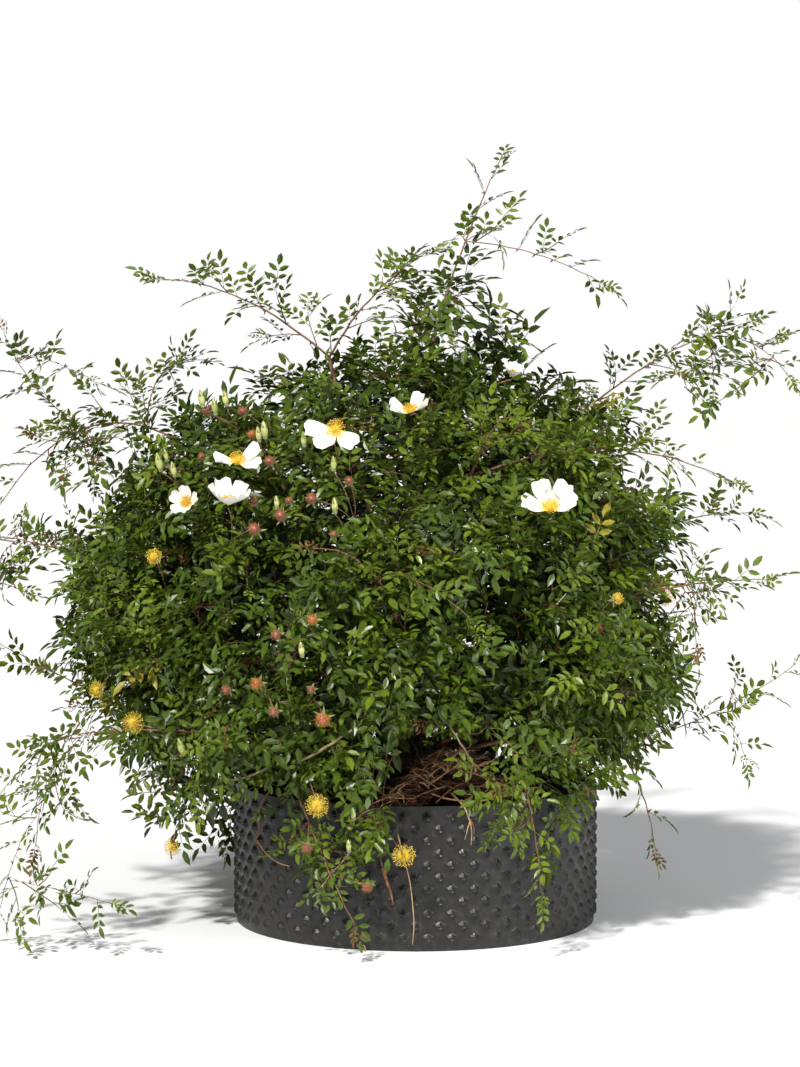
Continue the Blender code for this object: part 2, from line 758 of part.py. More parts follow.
def islands_of(shape):
    """The sets of vertices that edges join."""
    islands = []
    unseen = set(shape.verts)
    while unseen:
        island = set()
        front = [unseen.pop()]
        while front:
            vertex = front.pop()
            island.add(vertex)
            for edge in vertex.link_edges:
                other = edge.other_vert(vertex)
                if other in unseen:
                    unseen.remove(other)
                    front.append(other)
        islands.append(island)
    return islands


def tidy_body(mesh, flat_angle):
    """Keeps the outer body alone, with no scrap or sealed hollow, and returns how many edges are faulty."""
    shape = bmesh.new()
    shape.from_mesh(mesh)
    largest = max(islands_of(shape), key=len)
    bmesh.ops.delete(shape, geom=[v for v in shape.verts if v not in largest], context="VERTS")
    if flat_angle:
        bmesh.ops.dissolve_limit(shape, angle_limit=flat_angle, verts=shape.verts, edges=shape.edges)
    bmesh.ops.triangulate(shape, faces=shape.faces)
    bmesh.ops.dissolve_degenerate(shape, dist=SHORTEST_EDGE, edges=shape.edges)
    bmesh.ops.triangulate(shape, faces=shape.faces)
    faulty = sum(1 for edge in shape.edges if len(edge.link_faces) != 2)
    faulty += sum(1 for face in shape.faces if face.calc_area() < SLIVER_AREA)
    shape.to_mesh(mesh)
    shape.free()
    return faulty


def union_of(name, solids, look, solver, flat_angle):
    """The object that one Boolean union on a collection makes of some solids, and its faulty edges."""
    body = add_object(name, *solids[0], look)
    pieces = bpy.data.collections.new(name)
    bpy.context.scene.collection.children.link(pieces)
    for solid in solids[1:]:
        piece = add_object("piece", *solid)
        bpy.context.scene.collection.objects.unlink(piece)
        pieces.objects.link(piece)
    union = body.modifiers.new("union", "BOOLEAN")
    union.operation = "UNION"
    union.operand_type = "COLLECTION"
    union.collection = pieces
    union.solver = solver
    depsgraph = bpy.context.evaluated_depsgraph_get()
    fused = bpy.data.meshes.new_from_object(body.evaluated_get(depsgraph), depsgraph=depsgraph)
    body.modifiers.clear()
    body.data = fused
    for piece in list(pieces.objects):
        bpy.data.objects.remove(piece, do_unlink=True)
    bpy.data.collections.remove(pieces)
    return body, tidy_body(fused, flat_angle)


def fuse(name, solids, look):
    """One closed body from overlapping solids, with a leaf fewer each time that both solvers fail."""
    kept = list(solids)
    while True:
        for solver, flat_angle in (("EXACT", FLAT_ANGLE), ("EXACT", 0), ("MANIFOLD", 0)):
            body, faulty = union_of(name, kept, look, solver, flat_angle)
            if not faulty:
                return body
            bpy.data.objects.remove(body, do_unlink=True)
        kept.pop()


def bough_radii(mass):
    return taper(BOUGH_FOOT_RADIUS, BOUGH_TIP_RADIUS, len(mass.bough))


def add_bough(mass, look, cutter):
    """One tapering cane, its foot cut to the stem with a fine gap."""
    body = add_object(f"bough_{mass.name}", *tube(mass.bough, bough_radii(mass), BOUGH_SIDES), look)
    cut = body.modifiers.new("stem", "BOOLEAN")
    cut.operation = "DIFFERENCE"
    cut.object = cutter
    cut.solver = "EXACT"
    return body


def build():
    rng = random.Random(SEED)
    pot_wall(material("black sheet", BLACK_SHEET, 0.55))
    pot_base(material("black base", BLACK_SHEET, 0.6))
    soil(material("soil", DARK_SOIL, 0.95))
    stem("stem", material("old bark", OLD_BARK, 0.85))
    cutter = stem("stem_cutter", None, GAP)
    cutter.hide_render = True
    cutter.display_type = "WIRE"

    masses = [Mass(tier, side, azimuth, rng) for tier in TIERS for side, azimuth in TIERS[tier][-1]]
    limbs = Limbs()
    limbs.add("stem", [stem_axis(0), stem_axis(STEM_HEIGHT)], [STEM_RADIUS, STEM_RADIUS])
    for mass in masses:
        cane = material(f"cane {mass.name}", CANE_BARK, 0.7)
        add_bough(mass, cane, cutter)
        limbs.add(f"bough_{mass.name}", mass.bough, bough_radii(mass))
    for mass in masses:
        start_mass(mass, limbs)
    for mass in masses:
        add_shoots(mass, limbs, rng)
    add_flowers(masses, limbs, rng)
    for mass in masses:
        leaf_the_shoots(mass, masses, limbs, rng)
    for number, mass in enumerate(masses):
        seeded = random.Random(SEED + number)
        leaf_the_twigs(mass, masses, limbs, add_twigs(mass, masses, limbs, seeded), seeded)
        look = material(f"leaves {mass.name}", LEAF_GREENS[number % len(LEAF_GREENS)], 0.5)
        fuse(f"foliage_{mass.name}", mass.solids, look)


build()
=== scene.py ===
"""The looks of a potted macartney rose: an arching, prickly shrub with small compound leaves and white
flowers, in a round container rolled from dimpled black root-training sheet. Metres, +Z up, front toward -Y.
"""

import math
import random

import bpy
import numpy as np
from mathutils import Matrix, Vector, noise


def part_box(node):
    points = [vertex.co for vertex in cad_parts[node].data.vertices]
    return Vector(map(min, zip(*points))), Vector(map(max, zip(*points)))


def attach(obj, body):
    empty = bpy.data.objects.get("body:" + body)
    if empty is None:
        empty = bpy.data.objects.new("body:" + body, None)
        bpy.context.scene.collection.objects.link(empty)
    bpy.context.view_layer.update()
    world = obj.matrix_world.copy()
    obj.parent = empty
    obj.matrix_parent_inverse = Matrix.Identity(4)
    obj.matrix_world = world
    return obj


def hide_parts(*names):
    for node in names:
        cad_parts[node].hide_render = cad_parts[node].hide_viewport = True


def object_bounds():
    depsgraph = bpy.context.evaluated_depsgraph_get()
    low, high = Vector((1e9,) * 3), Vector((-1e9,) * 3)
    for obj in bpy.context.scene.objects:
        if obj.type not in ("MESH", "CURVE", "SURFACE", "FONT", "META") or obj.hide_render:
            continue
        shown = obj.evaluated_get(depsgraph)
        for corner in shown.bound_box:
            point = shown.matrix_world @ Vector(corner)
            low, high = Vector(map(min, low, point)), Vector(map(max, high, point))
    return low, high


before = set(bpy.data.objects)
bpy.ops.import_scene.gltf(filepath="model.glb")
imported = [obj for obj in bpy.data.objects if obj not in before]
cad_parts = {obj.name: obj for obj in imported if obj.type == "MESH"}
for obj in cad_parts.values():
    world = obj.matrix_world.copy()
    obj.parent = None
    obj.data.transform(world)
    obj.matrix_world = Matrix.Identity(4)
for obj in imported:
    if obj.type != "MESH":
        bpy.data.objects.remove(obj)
cad_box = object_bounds()


# Studio
# A plain pale floor under soft light: a large key lamp at the upper left, a weaker one at the right.
# The camera stands about 4.5 m off, a little above the crown's middle, and looks slightly down.

CAMERA_PLACE = (-0.021, -4.5, 0.85)
CAMERA_PITCH = 85.9
LENS = 111.74
FLOOR_SIZE = 40.0
FLOOR_COLOUR = (0.94, 0.95, 0.99)
FLOOR_TONES = ((0.3, (0.93, 0.945, 0.99)), (0.7, (0.95, 0.965, 1.0)))
WALL_COLOUR = (1.0, 1.0, 1.0, 1.0)
ROOM_COLOUR = (1.0, 0.99, 0.96, 1.0)
ROOM_LIGHT = 0.24
KEY_FROM = (-0.38, -0.80, 0.82)
KEY_COLOUR = (1.0, 0.98, 0.92)
KEY_STRENGTH = 4.2
KEY_SOFTNESS = 3.0
FILL_PLACE = (3.2, -2.6, 1.6)
FILL_POWER = 105.0
FILL_SIZE = 2.4


def direction(azimuth, elevation=0.0):
    """The unit vector toward an azimuth in degrees, from the front and turning to +X, and an elevation."""
    az = math.radians(azimuth)
    el = math.radians(elevation)
    return Vector((math.sin(az) * math.cos(el), -math.cos(az) * math.cos(el), math.sin(el)))


def finish_material(name, colour, roughness):
    """A new material, its nodes, its links and its shader with a plain colour and roughness."""
    made = bpy.data.materials.new(name)
    made.use_nodes = True
    nodes = made.node_tree.nodes
    shader = nodes["Principled BSDF"]
    shader.inputs["Base Color"].default_value = (*colour, 1.0)
    shader.inputs["Roughness"].default_value = roughness
    return made, nodes, made.node_tree.links, shader


def noise_node(nodes, links, scale, detail=4.0, stretch=(1.0, 1.0, 1.0)):
    """Noise on Object coordinates, stretched along an axis where its value there is under 1."""
    place = nodes.new("ShaderNodeTexCoord")
    mapping = nodes.new("ShaderNodeMapping")
    mapping.inputs["Scale"].default_value = stretch
    made = nodes.new("ShaderNodeTexNoise")
    made.inputs["Scale"].default_value = scale
    made.inputs["Detail"].default_value = detail
    links.new(place.outputs["Object"], mapping.inputs["Vector"])
    links.new(mapping.outputs["Vector"], made.inputs["Vector"])
    return made


def ramp_node(nodes, links, source, stops):
    """A colour ramp that reads a noise node. stops are (position, colour) pairs."""
    made = nodes.new("ShaderNodeValToRGB")
    while len(made.color_ramp.elements) < len(stops):
        made.color_ramp.elements.new(0.5)
    for element, (position, colour) in zip(made.color_ramp.elements, stops):
        element.position = position
        element.color = (*colour, 1.0)
    links.new(source.outputs["Fac"], made.inputs["Fac"])
    return made


def add_bump(nodes, links, shader, source, strength, distance):
    bump = nodes.new("ShaderNodeBump")
    bump.inputs["Strength"].default_value = strength
    bump.inputs["Distance"].default_value = distance
    links.new(source.outputs["Fac"], bump.inputs["Height"])
    links.new(bump.outputs["Normal"], shader.inputs["Normal"])


def toned_material(name, colour, roughness, stops, scale, detail=4.0, stretch=(1.0, 1.0, 1.0), bump=None):
    """A material whose tone runs through stops with a noise. bump is its relief's strength and distance."""
    look, nodes, links, shader = finish_material(name, colour, roughness)
    mottle = noise_node(nodes, links, scale, detail, stretch)
    tone = ramp_node(nodes, links, mottle, stops)
    links.new(tone.outputs["Color"], shader.inputs["Base Color"])
    if bump:
        add_bump(nodes, links, shader, mottle, *bump)
    return look


camera_data = bpy.data.cameras.new("camera")
camera_data.lens = LENS
camera = bpy.data.objects.new("camera", camera_data)
camera.location = CAMERA_PLACE
camera.rotation_euler = (math.radians(CAMERA_PITCH), 0.0, 0.0)
bpy.context.scene.collection.objects.link(camera)
bpy.context.scene.camera = camera
bpy.context.scene.view_settings.view_transform = "Standard"

# The camera sees a white wall, and the plant is lit by a dimmer and warmer one.
world = bpy.data.worlds.new("studio")
world.use_nodes = True
room = world.node_tree.nodes
room_light = room["Background"]
room_light.inputs["Color"].default_value = ROOM_COLOUR
room_light.inputs["Strength"].default_value = ROOM_LIGHT
white_wall = room.new("ShaderNodeBackground")
white_wall.inputs["Color"].default_value = WALL_COLOUR
ray = room.new("ShaderNodeLightPath")
either = room.new("ShaderNodeMixShader")
links = world.node_tree.links
links.new(ray.outputs["Is Camera Ray"], either.inputs["Fac"])
links.new(room_light.outputs["Background"], either.inputs[1])
links.new(white_wall.outputs["Background"], either.inputs[2])
links.new(either.outputs["Shader"], room["World Output"].inputs["Surface"])
bpy.context.scene.world = world

key_light = bpy.data.lights.new("key", "SUN")
key_light.energy = KEY_STRENGTH
key_light.angle = math.radians(KEY_SOFTNESS)
key_light.color = KEY_COLOUR
fill_light = bpy.data.lights.new("fill", "AREA")
fill_light.size = FILL_SIZE
fill_light.energy = FILL_POWER
for light, place in ((key_light, KEY_FROM), (fill_light, FILL_PLACE)):
    lamp = bpy.data.objects.new(light.name, light)
    lamp.location = place
    lamp.rotation_mode = "QUATERNION"
    lamp.rotation_quaternion = (-Vector(place)).to_track_quat("-Z", "Y")
    bpy.context.scene.collection.objects.link(lamp)

bpy.ops.object.select_all(action="DESELECT")
bpy.ops.mesh.primitive_plane_add(size=FLOOR_SIZE, location=(0, 0, 0))
floor = bpy.context.object
floor.name = "floor"
floor.data.materials.append(toned_material("pale floor", FLOOR_COLOUR, 0.8, FLOOR_TONES, 3.0))


# Pot wall
# One black plastic sheet, pressed with staggered rows of ribbed points, each with a small air hole, then
# rolled into a ring. It is made flat as a grid, pressed, and wrapped round the pot's axis.

SHEET_GAUGE = 0.0015
DIMPLES_AROUND = 50
DIMPLE_ROWS = 12
DIMPLE_DEPTH = 0.0055
DIMPLE_SPREAD = 0.0068
DIMPLE_STEEPER = 1.12
DIMPLE_RIBS = 6
RIB_DEPTH = 0.13
RIBS_FULL_AT = 0.004
HOLE_RADIUS = 0.0005
HOLE_DEPTH = 0.0030
FACES_PER_HALF_PITCH = 8
WALL_WAVE = 0.0008
WALL_WAVES = 3
SEAM_GAP = 0.00002
SHARP_ANGLE = 24
SHEET_TONES = (
    (0.32, (0.011, 0.0108, 0.0106)), (0.55, (0.017, 0.0164, 0.0155)), (0.80, (0.042, 0.039, 0.034)))

_, wall_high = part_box("pot_wall")
POT_RADIUS = wall_high.x
POT_HEIGHT = wall_high.z
WALL_VALLEY = POT_RADIUS - DIMPLE_DEPTH
WALL_INSIDE = WALL_VALLEY - SHEET_GAUGE
FIT_GAP = 0.0003


def pressed_height(around, up):
    """How far the pressed points stand out, for places in half pitches round the sheet and rows up it."""
    s = np.round((around + up) / 2)
    t = np.round((around - up) / 2)
    row = s - t
    off_around = (around - (s + t)) * math.pi * POT_RADIUS / DIMPLES_AROUND
    off_up = (up - row) * POT_HEIGHT / DIMPLE_ROWS
    reach = np.hypot(off_around, off_up)
    turn = np.arctan2(off_up, off_around)
    ribs = RIB_DEPTH * np.cos(DIMPLE_RIBS * turn) * np.minimum(reach / RIBS_FULL_AT, 1)
    height = DIMPLE_DEPTH * np.clip(DIMPLE_STEEPER - reach * (1 + ribs) / DIMPLE_SPREAD, 0, 1)
    height = np.where(reach < HOLE_RADIUS, height - HOLE_DEPTH, height)
    return np.where((row > 0.5) & (row < DIMPLE_ROWS - 0.5), height, 0.0)


def read_points(mesh):
    points = np.zeros(len(mesh.vertices) * 3)
    mesh.vertices.foreach_get("co", points)
    return points.reshape(-1, 3)


def write_points(mesh, points):
    mesh.vertices.foreach_set("co", np.asarray(points, dtype=float).ravel())
    mesh.update()


def sheet_material():
    """Dusty satin black plastic, greyer where soil dust has dried on it."""
    look, nodes, links, shader = finish_material("black sheet", (0.018, 0.018, 0.0185), 0.46)
    shader.inputs["Specular IOR Level"].default_value = 0.36
    dust = noise_node(nodes, links, 110.0, 8.0)
    tone = ramp_node(nodes, links, dust, SHEET_TONES)
    links.new(tone.outputs["Color"], shader.inputs["Base Color"])
    rough = nodes.new("ShaderNodeMapRange")
    rough.inputs["From Min"].default_value = 0.35
    rough.inputs["From Max"].default_value = 0.7
    rough.inputs["To Min"].default_value = 0.30
    rough.inputs["To Max"].default_value = 0.55
    links.new(dust.outputs["Fac"], rough.inputs["Value"])
    links.new(rough.outputs["Result"], shader.inputs["Roughness"])
    add_bump(nodes, links, shader, noise_node(nodes, links, 420.0, 3.0), 0.25, 0.0006)
    return look


columns = 2 * DIMPLES_AROUND * FACES_PER_HALF_PITCH
rows = DIMPLE_ROWS * FACES_PER_HALF_PITCH
bpy.ops.object.select_all(action="DESELECT")
bpy.ops.mesh.primitive_grid_add(x_subdivisions=columns, y_subdivisions=rows, size=1.0)
pot_sheet = bpy.context.object
pot_sheet.name = "pot_sheet"
flat = read_points(pot_sheet.data)
share_round = flat[:, 0] + 0.5
share_up = flat[:, 1] + 0.5
angle = 2 * math.pi * share_round
radius = WALL_VALLEY + pressed_height(share_round * 2 * DIMPLES_AROUND, share_up * DIMPLE_ROWS)
radius += WALL_WAVE * np.sin(WALL_WAVES * angle + 1.0) * share_up
write_points(pot_sheet.data, np.column_stack([
    np.sin(angle) * radius, np.cos(angle) * radius, share_up * POT_HEIGHT]))
bpy.ops.object.mode_set(mode="EDIT")
bpy.ops.mesh.select_all(action="SELECT")
bpy.ops.mesh.remove_doubles(threshold=SEAM_GAP)
bpy.ops.mesh.select_all(action="DESELECT")
bpy.ops.mesh.select_mode(type="EDGE")
bpy.ops.mesh.select_non_manifold(
    extend=False, use_wire=False, use_multi_face=False, use_non_contiguous=False, use_verts=False)
bpy.ops.mesh.extrude_edges_move()
inward = 1 - SHEET_GAUGE / POT_RADIUS
bpy.ops.transform.resize(value=(inward, inward, 1.0), center_override=(0, 0, 0))
bpy.ops.mesh.bridge_edge_loops()
bpy.ops.mesh.select_all(action="SELECT")
bpy.ops.mesh.normals_make_consistent(inside=False)
bpy.ops.object.mode_set(mode="OBJECT")
pot_sheet.data.materials.append(sheet_material())
bpy.ops.object.shade_smooth_by_angle(angle=math.radians(SHARP_ANGLE))
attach(pot_sheet, "root")
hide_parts("pot_wall")


# Pot base
# A flat disc of the same black plastic under the soil. The sheet stands round it.

BASE_TONES = ((0.4, (0.024, 0.024, 0.025)), (0.75, (0.070, 0.060, 0.050)))

base_look, nodes, links, shader = finish_material("black base", (0.028, 0.028, 0.029), 0.6)
add_bump(nodes, links, shader, noise_node(nodes, links, 160.0, 5.0), 0.3, 0.0008)
grit = ramp_node(nodes, links, noise_node(nodes, links, 40.0, 6.0), BASE_TONES)
links.new(grit.outputs["Color"], shader.inputs["Base Color"])
pot_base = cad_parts["pot_base"]
pot_base.data.materials.clear()
pot_base.data.materials.append(base_look)


# Soil
# Dark crumbly potting soil up to 2 cm under the rim, heaped a little round the rose's foot.
# It is a turned body whose top is pushed up and down into crumbs.

SOIL_SIDES = 120
SOIL_RINGS = 40
SOIL_SIDE_RING = 0.08
SOIL_MOUND = 0.010
SOIL_LEVEL_FROM = 1.4
SOIL_CRUMB = 0.0035
CRUMB_SCALE = 38
CRUMB_NOISE = (0.8, 2.0, 4)
CRUMBS_FADE_OVER = 0.03
SOIL_TONES = ((0.3, (0.016, 0.011, 0.008)), (0.5, (0.050, 0.033, 0.021)), (0.72, (0.120, 0.082, 0.052)))
STEM_FOOT_RADIUS = 0.034

soil_low, soil_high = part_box("soil")
SOIL_TOP = soil_high.z
SOIL_EDGE = SOIL_TOP - SOIL_MOUND


def ring(centre, across, over, radius, sides, turn=0.0):
    """Points round a centre, in the plane of two unit vectors."""
    angles = [turn + 2 * math.pi * k / sides for k in range(sides)]
    return [centre + radius * (math.cos(a) * across + math.sin(a) * over) for a in angles]


def level_ring(radius, height):
    """A ring round the pot's axis."""
    return ring(Vector((0, 0, height)), Vector((1, 0, 0)), Vector((0, 1, 0)), radius, SOIL_SIDES)


def skin_rings(rings, pointed=False):
    """Vertices and faces of the closed solid between rings of equal count, or up to a last point."""
    sides = len(rings[0])
    vertices = [point for one in rings for point in one]
    faces = [list(range(sides))[::-1]]
    last = len(rings) - 1
    for level in range(last):
        low = level * sides
        for k in range(sides):
            after = (k + 1) % sides
            if pointed and level == last - 1:
                faces.append([low + k, low + after, last * sides])
            else:
                faces.append([low + k, low + after, low + sides + after, low + sides + k])
    if not pointed:
        faces.append(list(range(last * sides, last * sides + sides)))
    return vertices, faces


def add_piece(name, vertices, faces, looks, slot, look_of_face=None, smooth=True):
    """A mesh piece at the origin that rides on the root, with a material or several dealt by face."""
    mesh = bpy.data.meshes.new(name)
    mesh.from_pydata([tuple(v) for v in vertices], [], faces)
    for look in looks:
        mesh.materials.append(look)
    if look_of_face is not None:
        mesh.polygons.foreach_set("material_index", look_of_face)
    mesh.polygons.foreach_set("use_smooth", [smooth] * len(mesh.polygons))
    mesh.update()
    piece = bpy.data.objects.new(name, mesh)
    bpy.context.scene.collection.objects.link(piece)
    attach(piece, "root")
    return piece


soil_look = toned_material(
    "potting soil", (0.045, 0.030, 0.020), 0.95, SOIL_TONES, 90.0, 10.0, bump=(0.8, 0.004))
soil_radius = WALL_INSIDE - 2 * FIT_GAP - WALL_WAVE
soil_rings = [level_ring(soil_radius, soil_low.z), level_ring(soil_radius, soil_low.z + SOIL_SIDE_RING)]
for k in range(SOIL_RINGS):
    radius = soil_radius * (1 - k / SOIL_RINGS)
    level = SOIL_EDGE + (SOIL_TOP - SOIL_EDGE) * min(1.0, (1 - radius / soil_radius) * SOIL_LEVEL_FROM)
    fade = min(1.0, max(0.0, radius - STEM_FOOT_RADIUS) / CRUMBS_FADE_OVER)
    points = []
    for point in level_ring(radius, level):
        lump = noise.fractal(point * CRUMB_SCALE, *CRUMB_NOISE) * SOIL_CRUMB
        points.append(point + Vector((0, 0, lump * fade)))
    soil_rings.append(points)
soil_rings.append([Vector((0, 0, SOIL_TOP))])
soil = add_piece("potting_soil", *skin_rings(soil_rings, pointed=True), [soil_look], "soil")
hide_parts("soil")


# Stem
# The rose's short woody root crown, grey-brown and furrowed, which spreads into root lobes at its foot.
# It follows the source's rings with many more sides, and bark ridges are pushed out of them.

SEED = 9587
STEM_HEIGHT = 0.115
STEM_RADIUS = 0.021
STEM_TOP_RADIUS = 0.018
STEM_LEAN = Vector((-0.008, 0.004, 0.0))
STEM_FLARE_HEIGHT = 0.016
STEM_SIDES = 56
STEM_RINGS = 60
STEM_TOP_EDGE = 0.80
STEM_OFF_AXIS = 0.15
CROWN_AXIS = Vector((-0.050, 0.0, 0.0))
ROOT_LOBES = 5
ROOT_LOBE_DEPTH = 0.10
ROOT_LOBE_HEIGHT = 0.03
ROOT_LOBE_TURN = 0.7
BARK_RIDGE = 0.0016
BARK_ROUND = 5
BARK_UP = 45
BARK_NOISE = (0.9, 2.1, 4, 0.9, 2.0)
BARK_LEVEL = 1.2


def stem_axis(height):
    share = height / STEM_HEIGHT
    return Vector((0, 0, SOIL_TOP + FIT_GAP + height)) + STEM_LEAN * share + CROWN_AXIS * STEM_OFF_AXIS


def stem_radius(height):
    """The stem's radius: a root flare, then a slow taper."""
    flare = (STEM_FOOT_RADIUS - STEM_RADIUS) * math.exp(-height / STEM_FLARE_HEIGHT)
    return STEM_RADIUS + flare + (STEM_TOP_RADIUS - STEM_RADIUS) * height / STEM_HEIGHT


def bark_material(name, scale, dark, middle, pale):
    """Bark with fine furrows along the limb."""
    stops = ((0.32, dark), (0.5, middle), (0.72, pale))
    return toned_material(name, middle, 0.82, stops, scale, 8.0, (1.0, 1.0, 0.25), (0.7, 0.0015))


stem_rings = []
for level in range(STEM_RINGS + 1):
    height = STEM_HEIGHT * level / STEM_RINGS
    radius = stem_radius(height)
    if level == STEM_RINGS:
        radius *= STEM_TOP_EDGE
    deep = ROOT_LOBE_DEPTH * math.exp(-height / ROOT_LOBE_HEIGHT)
    points = []
    for k in range(STEM_SIDES):
        angle = 2 * math.pi * k / STEM_SIDES
        out = Vector((math.cos(angle), math.sin(angle), 0))
        lobes = deep * math.cos(ROOT_LOBES * angle + ROOT_LOBE_TURN)
        place = Vector((out.x * BARK_ROUND, out.y * BARK_ROUND, height * BARK_UP))
        ridge = BARK_RIDGE * (noise.ridged_multi_fractal(place, *BARK_NOISE) - BARK_LEVEL)
        points.append(stem_axis(height) + out * (radius * (1 + lobes) + ridge))
    stem_rings.append(points)
stem_rings.append([stem_axis(STEM_HEIGHT)])
old_bark = bark_material(
    "old bark", 60.0, (0.035, 0.024, 0.018), (0.105, 0.072, 0.050), (0.210, 0.160, 0.115))
stem = add_piece("stem_bark", *skin_rings(stem_rings, pointed=True), [old_bark], "old_bark")
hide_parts("stem")


# Canes
# Each bough is one arching cane, red-brown with paler streaks, ringed at its old leaf joints, with hooked
# prickles on all sides. It runs from the stem to where its mass of foliage begins.

BOUGH_FOOT_RADIUS = 0.0058
BOUGH_TIP_RADIUS = 0.0036
BOUGH_FOOT_OUT = 0.010
BOUGH_ARCH = 0.028
BOUGH_STEPS = 4
BOUGH_WOBBLE = 0.006
BOUGH_STOPS_AT = 0.62
BOUGH_BEND = (0.36, 0.62)
CANE_SIDES = 10
CANE_STEPS = 8
CANE_JOINT = 0.042
JOINT_SWELL = 0.14
JOINT_SHARPNESS = 12
PRICKLE_EVERY = 3
PRICKLE_LENGTH = 0.0060
PRICKLE_RADIUS = 0.0016
PRICKLE_HOOK = 0.55
PRICKLE_NARROW = 0.6
PRICKLE_TAIL = 1.6
JITTER = 0.012
# name: (foot on the stem, reach, height, half width, ((side, azimuth), ...))
TIERS = {
    "low": (0.020, 0.250, 0.270, 0.125, (
        ("front_left", -34), ("front_right", 34), ("right", 84), ("back_right", 134),
        ("back", 184), ("back_left", 234), ("left", 283))),
    "middle": (0.046, 0.262, 0.430, 0.138, (
        ("front", 2), ("front_right", 60), ("back_right", 118), ("back", 175),
        ("back_left", 238), ("front_left", 302))),
    "upper": (0.072, 0.200, 0.590, 0.145, (
        ("front_left", -36), ("front_right", 36), ("right", 104), ("back", 180), ("left", 262))),
    "top": (0.096, 0.062, 0.708, 0.150, (
        ("left", 225), ("right", 70))),
}


def arc(start, control, end, steps):
    """Points along the smooth curve from start to end that a control point pulls."""
    shares = [k / steps for k in range(steps + 1)]
    return [(1 - t) ** 2 * start + 2 * t * (1 - t) * control + t * t * end for t in shares]


def taper(first, last, count):
    return [first + (last - first) * k / (count - 1) for k in range(count)]


def smooth_path(points, times):
    """A path with more points on the rounded curve through the given ones."""
    finer = []
    for k in range(len(points) - 1):
        before = points[max(k - 1, 0)]
        after = points[min(k + 2, len(points) - 1)]
        here, there = points[k], points[k + 1]
        for step in range(times):
            t = step / times
            finer.append(0.5 * (2 * here + (there - before) * t
                                + (2 * before - 5 * here + 4 * there - after) * t * t
                                + (3 * here - before - 3 * there + after) * t ** 3))
    return finer + [points[-1]]


def path_length(points):
    return sum((there - here).length for here, there in zip(points, points[1:]))


def tube(points, radii, sides, pointed=False):
    """A closed tapering tube along points, carried round its bends without a twist."""
    rings = []
    heading = (points[1] - points[0]).normalized()
    across = heading.orthogonal().normalized()
    for index, (point, radius) in enumerate(zip(points, radii)):
        before = points[max(index - 1, 0)]
        after = points[min(index + 1, len(points) - 1)]
        heading = (after - before).normalized()
        across = (across - across.dot(heading) * heading).normalized()
        rings.append(ring(point, across, heading.cross(across), radius, sides))
    if pointed:
        rings[-1] = [points[-1]]
    return skin_rings(rings, pointed)


def prickle(root, heading, outward):
    """A hooked prickle: a four-sided point that leans back down the cane."""
    tip = root + outward * PRICKLE_LENGTH - heading * PRICKLE_LENGTH * PRICKLE_HOOK
    side = heading.cross(outward).normalized() * PRICKLE_RADIUS * PRICKLE_NARROW
    foot = root - outward * PRICKLE_RADIUS * PRICKLE_NARROW
    ahead = foot + heading * PRICKLE_RADIUS
    behind = foot - heading * PRICKLE_RADIUS * PRICKLE_TAIL
    return [ahead, foot + side, behind, foot - side, tip], [[1, 0, 4], [2, 1, 4], [3, 2, 4], [0, 3, 4]]


def random_way(rng):
    """Three seeded draws from -1 to 1 as a vector."""
    return Vector([rng.uniform(-1, 1) for _ in range(3)])


def square_to(heading, turn):
    """The unit vector square to a heading, turned round it by so much."""
    across = heading.orthogonal().normalized()
    return math.cos(turn) * across + math.sin(turn) * heading.cross(across)


def join_parts(parts):
    """One list of vertices and one of faces from several pairs of them."""
    vertices = []
    faces = []
    for some_vertices, some_faces in parts:
        first = len(vertices)
        vertices += some_vertices
        faces += [[first + index for index in face] for face in some_faces]
    return vertices, faces


class Mass:
    """One foliage mass: its space, its bough, and the wood and leaves that have grown in it."""

    def __init__(self, tier, side, azimuth, rng):
        foot, reach, height, half_width, _ = TIERS[tier]
        self.name = f"{tier}_{side}"
        outward = direction(azimuth)
        shift = random_way(rng) * JITTER
        self.centre = CROWN_AXIS + outward * reach + Vector((0, 0, height)) + shift
        self.half_width = half_width
        self.bough = self.bough_points(foot, outward, rng)
        self.heading = (self.bough[-1] - self.bough[-2]).normalized()
        self.nodes = []
        self.wood = []
        self.shoots = []
        self.side_twigs = []
        self.sprays = []
        self.leaves = []

    def bough_points(self, foot, outward, rng):
        """The cane's arch, from inside the stem to the near side of the mass."""
        start = stem_axis(foot) + outward * BOUGH_FOOT_OUT
        end = self.centre - (self.centre - start).normalized() * self.half_width * BOUGH_STOPS_AT
        span = end - start
        out, up = BOUGH_BEND
        control = start + Vector((span.x * out, span.y * out, span.z * up + BOUGH_ARCH))
        points = arc(start, control, end, BOUGH_STEPS)
        sideways = span.cross(Vector((0, 0, 1))).normalized()
        sway = rng.uniform(-1, 1) * BOUGH_WOBBLE
        for k in range(2, BOUGH_STEPS):
            points[k] += sideways * sway * math.sin(2 * math.pi * k / BOUGH_STEPS)
        return points


